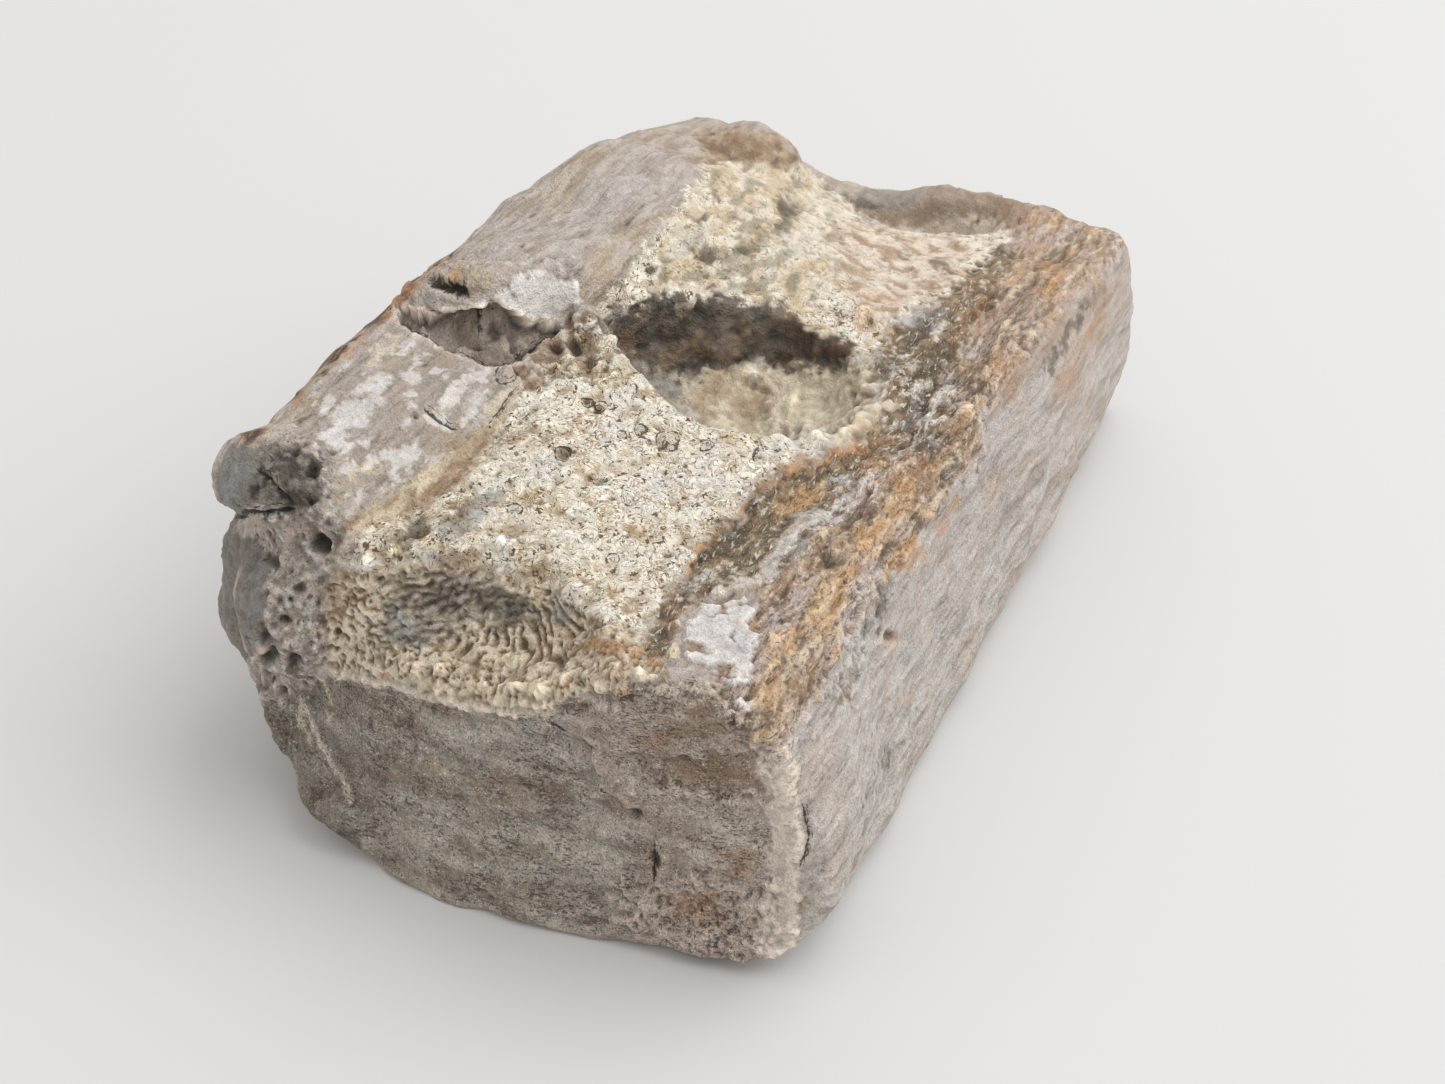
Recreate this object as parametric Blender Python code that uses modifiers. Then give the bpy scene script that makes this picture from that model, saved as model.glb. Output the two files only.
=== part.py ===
"""Section of a fossil crocodile jaw bone, broken across at both ends.

The row of tooth sockets runs along Y on the upper side: a broken socket at the near end, a whole one in
the middle and half of one at the far end. The outer wall of the jaw is the high rounded band on the left
(-X), the inner wall is the flat right side (+X). +Z is up and the section rests on its worn underside.
"""

import math

import bmesh
import bpy
import numpy as np
from mathutils import Euler, Matrix, Vector, noise

MM = 0.001

# The broken faces at the two ends: how far their middle stands out, in millimetres, and how quickly they
# leave the uneven edge of the section for their own plane.
NEAR_BULGE = 0.8
FAR_BULGE = 1.0
EDGE_FOLLOWING = 1.5

# Fineness of the solid: steps along the jaw and round it, rings of a broken face by their share of the
# section, sides of a groove cutter, edge of the even skin in millimetres, smoothing passes, triangles.
ALONG_STEPS = 56
AROUND_STEPS = 96
FACE_RINGS = (0.96, 0.86, 0.7, 0.5, 0.28)
GROOVE_SIDES = 12
SKIN_EDGE = 0.8
SMOOTHING_PASSES = 3
TRIANGLES = 9000

BONE_COLOUR = (0.45, 0.42, 0.38, 1.0)
BONE_ROUGHNESS = 0.55

# Lines that run along the jaw, in order round its section seen from the near end: the right edge of the
# upper side first, then over the top to the left, down the left wall, along the underside and up the right
# wall. Each has the y of its near and far end, then x, z at five even steps between them, in millimetres.
RAILS = {
    "right_edge": (-41.2, 43.8, (22.2, 22.6), (20.8, 21.6), (20.1, 21.4), (20.3, 21.4), (20.8, 20.8)),
    "inner_band": (-42.0, 44.2, (17.4, 25.0), (16.0, 23.4), (15.6, 22.6), (15.7, 21.6), (15.2, 20.2)),
    "socket_row_right": (-42.5, 44.6, (10.2, 25.8), (9.8, 25.0), (11.0, 23.9), (10.4, 22.0), (9.0, 19.8)),
    "socket_row": (-43.2, 44.4, (2.0, 26.0), (2.0, 26.0), (3.0, 25.2), (2.6, 23.4), (2.0, 19.2)),
    "socket_row_left": (-43.0, 43.0, (-6.0, 27.0), (-6.0, 27.2), (-5.0, 27.6), (-5.5, 26.2), (-4.6, 19.6)),
    "crease": (-41.0, 40.0, (-14.6, 28.4), (-12.6, 28.2), (-11.0, 29.2), (-11.6, 29.2), (-10.8, 22.4)),
    "band_crest": (-38.5, 38.6, (-19.4, 31.0), (-18.8, 31.0), (-17.6, 31.8), (-17.6, 31.0), (-16.0, 25.4)),
    "band_shoulder": (-36.0, 37.6, (-25.0, 30.8), (-25.4, 31.2), (-24.8, 31.4), (-24.2, 30.4), (-21.8, 25.4)),
    "wall_top": (-35.0, 36.5, (-29.0, 26.6), (-29.2, 26.6), (-28.6, 26.4), (-27.6, 25.4), (-25.2, 22.0)),
    "outer_wall": (-34.5, 36.0, (-30.0, 18.0), (-30.4, 17.4), (-29.6, 16.4), (-28.0, 15.4), (-25.4, 13.4)),
    "outer_wall_foot": (-36.0, 36.6, (-27.6, 9.0), (-29.4, 8.2), (-28.2, 7.4), (-26.0, 6.8), (-22.8, 6.4)),
    "underside_left": (-41.2, 38.6, (-19.4, 3.0), (-21.4, 1.2), (-20.4, 0.6), (-18.2, 0.8), (-15.4, 2.2)),
    "underside": (-44.6, 41.5, (-8.0, -0.6), (-8.6, -1.2), (-7.4, -1.4), (-6.4, -1.2), (-5.0, -0.2)),
    "underside_middle": (-44.6, 44.4, (5.0, -0.4), (6.0, -1.2), (6.6, -1.4), (6.8, -1.2), (7.0, -0.2)),
    "underside_right": (-42.4, 45.0, (17.6, 0.6), (18.4, -1.0), (17.8, -1.0), (17.0, -0.8), (16.0, 0.6)),
    "inner_wall_foot": (-40.8, 45.0, (24.6, 3.6), (24.6, 2.0), (23.6, 2.0), (22.4, 2.4), (20.4, 3.4)),
    "inner_wall": (-40.0, 44.2, (26.2, 11.8), (23.4, 12.0), (22.4, 12.0), (22.2, 12.0), (21.8, 11.4)),
}

# Hollows cut into the upper side. Each has the outline of its rim in x, y, the height of the rim, the deepest
# point of its floor in x, y, z, how fast the floor climbs towards +X, and the shape of its wall.
HOLLOWS = {
    "middle_socket": (
        (
            (-11.9, -2.9), (-8.6, -5.3), (-4.9, -7.6), (-2.4, -8.9), (1.6, -9.7), (6.2, -8.2), (9.4, -6.2),
            (12.1, -3.2), (12.7, 1.6), (11.7, 5.4), (9.3, 7.9), (5.6, 9.4), (1.8, 9.8), (-1.6, 8.8),
            (-5.7, 5.4), (-9.5, 1.7), (-11.4, -1.2),
        ),
        26.6, (2.4, 1.0, 18.4), 0.0, "socket",
    ),
    "near_socket": (
        (
            (-18.8, -50.0), (-18.6, -41.0), (-17.4, -38.6), (-12.8, -37.2), (-9.7, -35.9), (-6.4, -34.1),
            (-3.1, -32.4), (0.2, -32.0), (4.3, -33.2), (8.9, -36.4), (12.0, -41.6), (13.4, -50.0),
        ),
        27.4, (-5.0, -46.0, 18.0), 0.22, "scoop",
    ),
    "far_socket": (
        (
            (-5.6, 36.6), (-3.4, 34.6), (0.6, 34.4), (4.4, 35.8), (7.8, 38.0), (9.8, 40.4), (9.0, 42.0),
            (4.0, 42.2), (-1.0, 41.0), (-4.8, 39.0),
        ),
        21.0, (3.0, 38.8, 16.4), 0.0, "socket",
    ),
}

# Wall shapes: how far in from the rim towards the deepest point, and the share of the depth still above it.
WALLS = {
    "socket": ((0.0, 1.0), (0.07, 0.62), (0.17, 0.3), (0.34, 0.1), (0.62, 0.02)),
    "scoop": ((0.0, 1.0), (0.06, 0.7), (0.16, 0.42), (0.32, 0.22), (0.6, 0.08)),
}
CUTTER_TOP = 38.0

# Swellings joined to the body: centre and half sizes.
SWELLINGS = {
    "band_end": ((-23.6, -33.4, 27.0), (6.2, 5.2, 4.8)),
    "wall_end": ((-21.4, -36.0, 18.4), (5.4, 5.6, 6.8)),
    "wall_foot": ((-26.8, -28.0, 12.0), (5.8, 8.0, 6.4)),
    "far_knob": ((-13.8, 33.6, 22.2), (5.6, 5.0, 6.0)),
    "underside_lip": ((-14.4, -39.6, 3.4), (6.0, 4.4, 3.2)),
}

# Grooves cut with a round tool before the surface is finished: a line in x, y, z and a radius.
GROOVES = {
    "band_split": (((-32, -31.5, 22.6), (-27.6, -36.6, 23.6), (-22, -40, 24.8), (-17, -41, 26)), 2.4),
    "band_slit": (((-25.4, -8.6, 32.2), (-21, -6.6, 33.2)), 0.9),
    "knob_notch": (((-18.6, 31.4, 29.2), (-17.8, 38.0, 28)), 1.2),
    "under_lump": (((-25.6, -38.4, 12.4), (-20.4, -41.6, 11.2)), 1.1),
}

# Pits and pores large enough to see from a step away: centre and radius.
PITS = (
    ((-17.4, -38.9, 27.0), 1.6),
    ((-24.8, -37.8, 13.4), 1.5),
    ((-20.6, -39.6, 14.6), 1.3),
    ((-22.8, -38.6, 9.4), 1.3),
    ((-17.2, -40.6, 19.6), 1.2),
    ((-9.8, -31.6, 28.2), 1.1),
    ((-13.2, 20.4, 30.0), 1.3),
    ((-10.0, 18.6, 29.0), 1.1),
    ((-8.2, 27.4, 26.6), 1.3),
)

# Marks worked into the surface after it is joined: a line in x, y, z, a half width and a depth along the
# surface normal. A negative depth raises the surface.
FURROWS = {
    "crease_near": (((-13.8, -37, 28), (-12, -22, 28), (-10.8, -11, 28.4)), 2.0, 0.7),
    "inner_groove": (((9.5, -28, 24.6), (13.2, -6, 23.2), (15.2, 6, 22.6), (14.5, 24, 21.8)), 2.6, 1.0),
    "inner_wall_gouge": (((23.2, -28, 11), (22.6, -16, 14)), 2.2, 0.8),
    "inner_wall_gouge_far": (((22.4, -6, 15), (22.0, 6, 17)), 2.0, 0.7),
    "socket_peak": (((-13.6, -3.4, 29.6), (-11.4, -5.4, 29)), 2.4, -1.6),
    "socket_lip": (((-10.6, -5.6, 28.8), (-7.4, -8.0, 28.0), (-3.4, -10.6, 27)), 1.8, -0.8),
    "foot_of_peak": (((-15.4, -9.0, 28.6), (-12.6, -9.8, 28.4)), 1.9, 1.2),
    "inner_corner": (((22.5, -40, 18), (24.6, -39.5, 11), (23.6, -41, 5)), 1.6, -0.6),
    "inner_band_ridge": (((18.6, -36, 24.4), (17.4, -16, 23.4), (17.8, 2, 22.8), (17.6, 26, 22)), 1.8, -0.7),
    "matrix_layer": (((-16, -43, 13), (-2, -44.5, 14.2), (14, -43.4, 12.6)), 1.3, 0.5),
    "matrix_corner": (((4, -44.6, 6.4), (10, -44.4, 4.2), (17, -43.4, 7.0)), 1.5, 0.7),
}

# The ledge where a layer of the band has broken away: the foot of the broken edge in x, y with its height
# there, how far the edge leans back, how far the raised layer runs before it merges with the band, and the
# heights between which it fades out down the outer wall.
LEDGE_LINE = (
    (-27.0, -13.0, 0.2),
    (-24.6, -12.6, 0.8),
    (-20.8, -12.4, 2.6),
    (-17.4, -11.4, 3.9),
    (-15.0, -8.4, 3.6),
    (-13.2, -4.6, 2.8),
    (-11.4, -1.0, 1.2),
)
LEDGE_SLOPE = 1.5
LEDGE_RUN = 22.0
LEDGE_LOWEST = 22.0
LEDGE_FULL = 26.0

# Unevenness laid over the whole surface: the size of its lumps and their height, in millimetres.
ROUGHNESS_LAYERS = ((17.0, 0.8), (7.5, 0.6), (3.4, 0.36))


def clear_scene():
    for old in list(bpy.data.objects):
        bpy.data.objects.remove(old)
    for old in list(bpy.data.collections):
        bpy.data.collections.remove(old)


def collection(name):
    made = bpy.data.collections.new(name)
    bpy.context.scene.collection.children.link(made)
    return made


def catmull_rom(before, start, end, after, share):
    """The curve between start and end that also looks at the points on either side of them."""
    return 0.5 * (
        2 * start + (end - before) * share
        + (2 * before - 5 * start + 4 * end - after) * share ** 2
        + (3 * start - before - 3 * end + after) * share ** 3
    )


def along_rail(values, along):
    """The value at a share of the length, on a smooth curve through evenly spaced values."""
    last = len(values) - 1
    first = min(int(along * last), last - 1)
    near_values = [values[min(max(first + step, 0), last)] for step in (-1, 0, 1, 2)]
    return catmull_rom(*near_values, along * last - first)


def rail_points(along):
    """One section's cage points, at a share of the length from 0 at the near end to 1 at the far end."""
    points = []
    for near, far, *keys in RAILS.values():
        xs, zs = zip(*keys)
        points.append((along_rail(xs, along), near + (far - near) * along, along_rail(zs, along)))
    return np.array(points)


def closed_curve(points, count):
    """Points evenly shared out on the smooth closed curve through the cage points."""
    size = len(points)
    curve = []
    for index in range(count):
        place = index * size / count
        first = int(place)
        near_points = [points[(first + step) % size] for step in (-1, 0, 1, 2)]
        curve.append(catmull_rom(*near_points, place - first))
    return np.array(curve)


def body_rings():
    """Rings of points from the middle of the near broken face to the middle of the far one."""
    sections = [
        closed_curve(rail_points(step / ALONG_STEPS), AROUND_STEPS) for step in range(ALONG_STEPS + 1)
    ]
    near_face = [broken_face(sections[0], share, -NEAR_BULGE) for share in (0.0, *reversed(FACE_RINGS))]
    far_face = [broken_face(sections[-1], share, FAR_BULGE) for share in (*FACE_RINGS, 0.0)]
    return near_face[1:] + sections + far_face[:-1], near_face[0][0], far_face[-1][0]


def broken_face(section, share, bulge):
    """A ring inside an end section: it lies near the section's mean plane, with the middle standing out."""
    flat = np.column_stack((section[:, 0], section[:, 2], np.ones(len(section))))
    plane = np.linalg.lstsq(flat, section[:, 1], rcond=None)[0]
    middle = section.mean(axis=0)
    ring = middle + (section - middle) * share
    on_plane = np.column_stack((ring[:, 0], ring[:, 2], np.ones(len(ring)))) @ plane
    off_plane = section[:, 1] - flat @ plane
    ring[:, 1] = on_plane + off_plane * share ** EDGE_FOLLOWING + bulge * (1 - share ** 2)
    return ring


def add_body(target):
    """The plain swept body, before its hollows and marks."""
    rings, near_middle, far_middle = body_rings()
    mesh = bmesh.new()
    made = [[mesh.verts.new(Vector(point) * MM) for point in ring] for ring in rings]
    for first, second in zip(made, made[1:]):
        for index in range(AROUND_STEPS):
            after = (index + 1) % AROUND_STEPS
            mesh.faces.new((first[index], first[after], second[after], second[index]))
    for ring, middle in ((made[0], near_middle), (made[-1], far_middle)):
        centre = mesh.verts.new(Vector(middle) * MM)
        for index in range(AROUND_STEPS):
            mesh.faces.new((ring[index], ring[(index + 1) % AROUND_STEPS], centre))
    bmesh.ops.recalc_face_normals(mesh, faces=mesh.faces)
    data = bpy.data.meshes.new("body_cage")
    mesh.to_mesh(data)
    mesh.free()
    body = bpy.data.objects.new("body_cage", data)
    target.objects.link(body)
    return body


def helper_object(name, target, mesh):
    """A solid used only to shape the section: it isn't rendered and isn't a part."""
    data = bpy.data.meshes.new(name)
    mesh.to_mesh(data)
    mesh.free()
    helper = bpy.data.objects.new(name, data)
    helper.hide_render = True
    helper.display_type = "WIRE"
    target.objects.link(helper)
    return helper


def add_rounded(name, target, centre, halves):
    """A ball stretched to half sizes."""
    mesh = bmesh.new()
    bmesh.ops.create_uvsphere(mesh, u_segments=32, v_segments=20, radius=1.0)
    for vertex in mesh.verts:
        vertex.co = (vertex.co * Vector(halves) + Vector(centre)) * MM
    return helper_object(name, target, mesh)


def add_hollow(name, target, rim, rim_height, deepest, climb, wall):
    """The cutter of a hollow: straight above its rim, then in and down the wall to the deepest point."""
    rim = np.array(rim)
    middle = np.array(deepest[:2])
    floor = deepest[2]
    levels = [(0.0, CUTTER_TOP - rim_height)] + [
        (share_in, (floor - rim_height) * (1 - share_above)) for share_in, share_above in WALLS[wall]
    ]
    rings = []
    for share_in, rise in levels:
        flat = rim + (middle - rim) * share_in
        height = np.full(len(rim), rim_height + rise)
        if rise < 0:
            height += climb * (flat[:, 0] - middle[0])
        rings.append(np.column_stack((flat, height)))
    mesh = bmesh.new()
    made = [[mesh.verts.new(Vector(point) * MM) for point in ring] for ring in rings]
    count = len(rim)
    for upper, lower in zip(made, made[1:]):
        for index in range(count):
            after = (index + 1) % count
            mesh.faces.new((upper[index], upper[after], lower[after], lower[index]))
    for ring, height in ((made[0], CUTTER_TOP), (made[-1], floor)):
        centre = mesh.verts.new(Vector((*middle, height)) * MM)
        for index in range(count):
            mesh.faces.new((ring[index], ring[(index + 1) % count], centre))
    bmesh.ops.recalc_face_normals(mesh, faces=mesh.faces)
    return helper_object(name, target, mesh)


def add_groove(name, target, line, radius):
    """The cutter of a groove: a round bar along a line, with pointed ends."""
    line = np.array(line, float)
    mesh = bmesh.new()
    rings = []
    for index, point in enumerate(line):
        along = Vector(line[min(index + 1, len(line) - 1)] - line[max(index - 1, 0)]).normalized()
        side = along.cross(Vector((0, 0, 1))).normalized()
        over = side.cross(along)
        turns = [2 * math.pi * step / GROOVE_SIDES for step in range(GROOVE_SIDES)]
        rings.append([
            mesh.verts.new((Vector(point) + (side * math.cos(turn) + over * math.sin(turn)) * radius) * MM)
            for turn in turns
        ])
    for first, second in zip(rings, rings[1:]):
        for index in range(GROOVE_SIDES):
            after = (index + 1) % GROOVE_SIDES
            mesh.faces.new((first[index], first[after], second[after], second[index]))
    for ring, end, inner in ((rings[0], line[0], line[1]), (rings[-1], line[-1], line[-2])):
        outward = Vector(end - inner).normalized() * radius
        tip = mesh.verts.new((Vector(end) + outward) * MM)
        for index in range(GROOVE_SIDES):
            mesh.faces.new((ring[index], ring[(index + 1) % GROOVE_SIDES], tip))
    bmesh.ops.recalc_face_normals(mesh, faces=mesh.faces)
    return helper_object(name, target, mesh)


def use_helper(body, helper, operation):
    modifier = body.modifiers.new(helper.name, "BOOLEAN")
    modifier.operation = operation
    modifier.object = helper


def join_and_cut(body, helpers):
    """Swellings joined and hollows cut, then one even skin over the whole."""
    for name, (centre, halves) in SWELLINGS.items():
        use_helper(body, add_rounded(name, helpers, centre, halves), "UNION")
    for name, shape in HOLLOWS.items():
        use_helper(body, add_hollow(name, helpers, *shape), "DIFFERENCE")
    for name, (line, radius) in GROOVES.items():
        use_helper(body, add_groove(name, helpers, line, radius), "DIFFERENCE")
    for number, (centre, radius) in enumerate(PITS, 1):
        pit = add_rounded(f"pit_{number}", helpers, centre, (radius, radius, radius))
        use_helper(body, pit, "DIFFERENCE")
    skin = body.modifiers.new("skin", "REMESH")
    skin.mode = "VOXEL"
    skin.voxel_size = SKIN_EDGE * MM
    soften = body.modifiers.new("soften", "SMOOTH")
    soften.factor = 0.5
    soften.iterations = SMOOTHING_PASSES
    bpy.context.view_layer.update()
    graph = bpy.context.evaluated_depsgraph_get()
    return bpy.data.meshes.new_from_object(body.evaluated_get(graph))


def distance_to_line(points, line):
    """Distance of each point from a line through several points."""
    nearest = np.full(len(points), np.inf)
    line = np.array(line, float)
    for start, end in zip(line, line[1:]):
        step = end - start
        share = np.clip((points - start) @ step / (step @ step), 0, 1)
        nearest = np.minimum(nearest, np.linalg.norm(points - start - share[:, None] * step, axis=1))
    return nearest


def falloff(distance, half_width):
    share = np.clip(1 - (distance / half_width) ** 2, 0, 1)
    return share ** 2


def smooth_step(value, low, high):
    share = np.clip((value - low) / (high - low), 0, 1)
    return share * share * (3 - 2 * share)


def ledge_height(points):
    """How far the unbroken layer of the band stands over the place where it has split off."""
    line_x, line_y, heights = zip(*LEDGE_LINE)
    behind = points[:, 1] - np.interp(points[:, 0], line_x, line_y)
    height = np.interp(points[:, 0], line_x, heights, left=0.0, right=0.0)
    on_top = smooth_step(points[:, 2], LEDGE_LOWEST, LEDGE_FULL)
    step = smooth_step(behind, 0, LEDGE_SLOPE)
    merge = 1 - smooth_step(behind, LEDGE_SLOPE, LEDGE_RUN)
    return height * step * merge * on_top


def rough_relief(points):
    """Soft unevenness of a broken and worn stone, in layers from broad to small."""
    relief = np.zeros(len(points))
    for size, height in ROUGHNESS_LAYERS:
        relief += height * np.array([noise.noise(Vector(point) / size) for point in points])
    return relief


def work_surface(mesh):
    """Furrows, ledge and roughness pressed into the even skin, then the flat resting face."""
    count = len(mesh.vertices)
    points = np.empty(count * 3)
    normals = np.empty(count * 3)
    mesh.vertices.foreach_get("co", points)
    mesh.vertices.foreach_get("normal", normals)
    points = points.reshape(-1, 3) / MM
    normals = normals.reshape(-1, 3)
    depth = np.zeros(count)
    for line, half_width, depth_here in FURROWS.values():
        depth += depth_here * falloff(distance_to_line(points, line), half_width)
    points[:, 2] += ledge_height(points)
    points += normals * (rough_relief(points) - depth)[:, None]
    points[:, 2] = np.maximum(points[:, 2], 0.0)
    mesh.vertices.foreach_set("co", (points * MM).ravel())
    mesh.update()


def centre_on_base(mesh):
    """Puts the origin under the middle of the section, on the surface that it rests on."""
    corners = np.array([vertex.co for vertex in mesh.vertices])
    low, high = corners.min(axis=0), corners.max(axis=0)
    middle = (low + high) / 2
    mesh.transform(Matrix.Translation((-middle[0], -middle[1], -low[2])))
    return middle


def bone_material():
    material = bpy.data.materials.new("fossil_bone")
    material.use_nodes = True
    shader = material.node_tree.nodes["Principled BSDF"]
    shader.inputs["Base Color"].default_value = BONE_COLOUR
    shader.inputs["Roughness"].default_value = BONE_ROUGHNESS
    shader.inputs["Metallic"].default_value = 0.0
    return material


def main():
    clear_scene()
    parts = collection("fossil_jaw_section")
    helpers = collection("helpers")
    body = add_body(helpers)
    body.hide_render = True
    body.display_type = "WIRE"
    mesh = join_and_cut(body, helpers)
    work_surface(mesh)
    middle = centre_on_base(mesh)
    mesh.name = "jaw_bone_section"
    section = bpy.data.objects.new("jaw_bone_section", mesh)
    parts.objects.link(section)
    section.data.materials.append(bone_material())
    thin_out = section.modifiers.new("fewer_faces", "DECIMATE")
    triangles_now = sum(len(face.vertices) - 2 for face in mesh.polygons)
    thin_out.ratio = min(1.0, TRIANGLES / triangles_now)
    section.data.shade_smooth()
    return middle


main()
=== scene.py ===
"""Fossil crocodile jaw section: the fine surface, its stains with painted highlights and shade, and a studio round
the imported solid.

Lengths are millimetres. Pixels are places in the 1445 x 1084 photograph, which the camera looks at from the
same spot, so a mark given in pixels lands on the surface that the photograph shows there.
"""

import math

import bmesh
import bpy
import numpy as np
from mathutils import Matrix, Vector
from mathutils.bvhtree import BVHTree


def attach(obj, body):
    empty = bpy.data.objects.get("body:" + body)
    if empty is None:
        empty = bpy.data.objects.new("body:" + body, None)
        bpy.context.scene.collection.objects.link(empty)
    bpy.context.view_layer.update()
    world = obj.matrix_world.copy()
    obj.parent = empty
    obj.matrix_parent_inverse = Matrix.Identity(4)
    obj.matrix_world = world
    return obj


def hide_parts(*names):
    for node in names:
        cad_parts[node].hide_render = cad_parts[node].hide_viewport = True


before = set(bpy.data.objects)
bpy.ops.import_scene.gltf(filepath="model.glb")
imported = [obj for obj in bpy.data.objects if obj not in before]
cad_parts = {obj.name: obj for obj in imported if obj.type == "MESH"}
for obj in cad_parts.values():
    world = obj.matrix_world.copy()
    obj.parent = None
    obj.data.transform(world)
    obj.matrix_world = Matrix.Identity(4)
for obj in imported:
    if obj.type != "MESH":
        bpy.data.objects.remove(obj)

NODE = "jaw_bone_section"
MM = 0.001

PHOTO_WIDTH = 1445
PHOTO_HEIGHT = 1084
FRAME_ANGLE = 26.0
CAMERA_AZIMUTH = 25.0
CAMERA_ELEVATION = 36.0
CAMERA_PLACE = (96.20, -202.16, 168.71)
FOCAL_PIXELS = PHOTO_WIDTH / 2 / math.tan(math.radians(FRAME_ANGLE / 2))

SKIN_EDGE = 0.27
SKIN_SMOOTHING = 12
TRIANGLES = 197000
GRAIN_SCALE = 2.3
TINY_SCALE = 6.0

# Colours as eight-bit screen values, as a paint chart gives them.
PALETTE = {
    "mauve_grey": (193, 181, 171),
    "pale_mauve": (210, 200, 191),
    "band_mauve": (180, 167, 156),
    "warm_grey": (188, 171, 154),
    "fibre_brown": (134, 112, 90),
    "edge_brown": (138, 98, 60),
    "near_black": (58, 49, 42),
    "highlight_white": (246, 242, 238),
    "wall_grey": (202, 195, 188),
    "wall_pale": (222, 216, 210),
    "wall_shadow": (146, 136, 127),
    "wall_pink": (206, 186, 172),
    "bone_white": (254, 248, 233),
    "bone_cream": (245, 234, 211),
    "bone_tan": (214, 190, 150),
    "bone_pink": (240, 223, 205),
    "pore_brown": (106, 78, 46),
    "stroke_ochre": (182, 148, 96),
    "scoop_green": (148, 139, 122),
    "scoop_mid": (190, 168, 138),
    "scoop_cream": (238, 225, 203),
    "scoop_gap": (118, 96, 68),
    "nodule": (242, 229, 206),
    "socket_floor": (203, 186, 159),
    "socket_floor_shadow": (182, 174, 160),
    "socket_wall_shade": (98, 87, 74),
    "socket_red": (86, 67, 52),
    "far_brown": (174, 158, 142),
    "lump_green": (206, 200, 178),
    "edge_mauve": (198, 173, 156),
    "edge_earth": (166, 134, 104),
    "edge_gold": (224, 184, 136),
    "groove_green": (158, 138, 108),
    "groove_dark": (94, 76, 55),
    "stone_green": (176, 170, 158),
    "stone_mauve": (194, 178, 166),
    "stone_brown": (170, 150, 133),
    "stone_pale": (214, 204, 190),
    "torn_grey": (168, 157, 146),
    "torn_mauve": (194, 178, 165),
    "rim_cream": (240, 226, 211),
    "orange": (202, 150, 102),
    "rust": (176, 136, 102),
    "brown": (140, 111, 82),
    "dark": (84, 76, 64),
    "glaze": (129, 122, 113),
    "blue_grey": (156, 156, 154),
    "pale_blue": (208, 208, 208),
    "white": (242, 237, 230),
    "cream": (240, 226, 198),
    "lilac": (210, 199, 197),
    "chip_white": (233, 228, 224),
    "chip_blue": (206, 206, 211),
}

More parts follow.
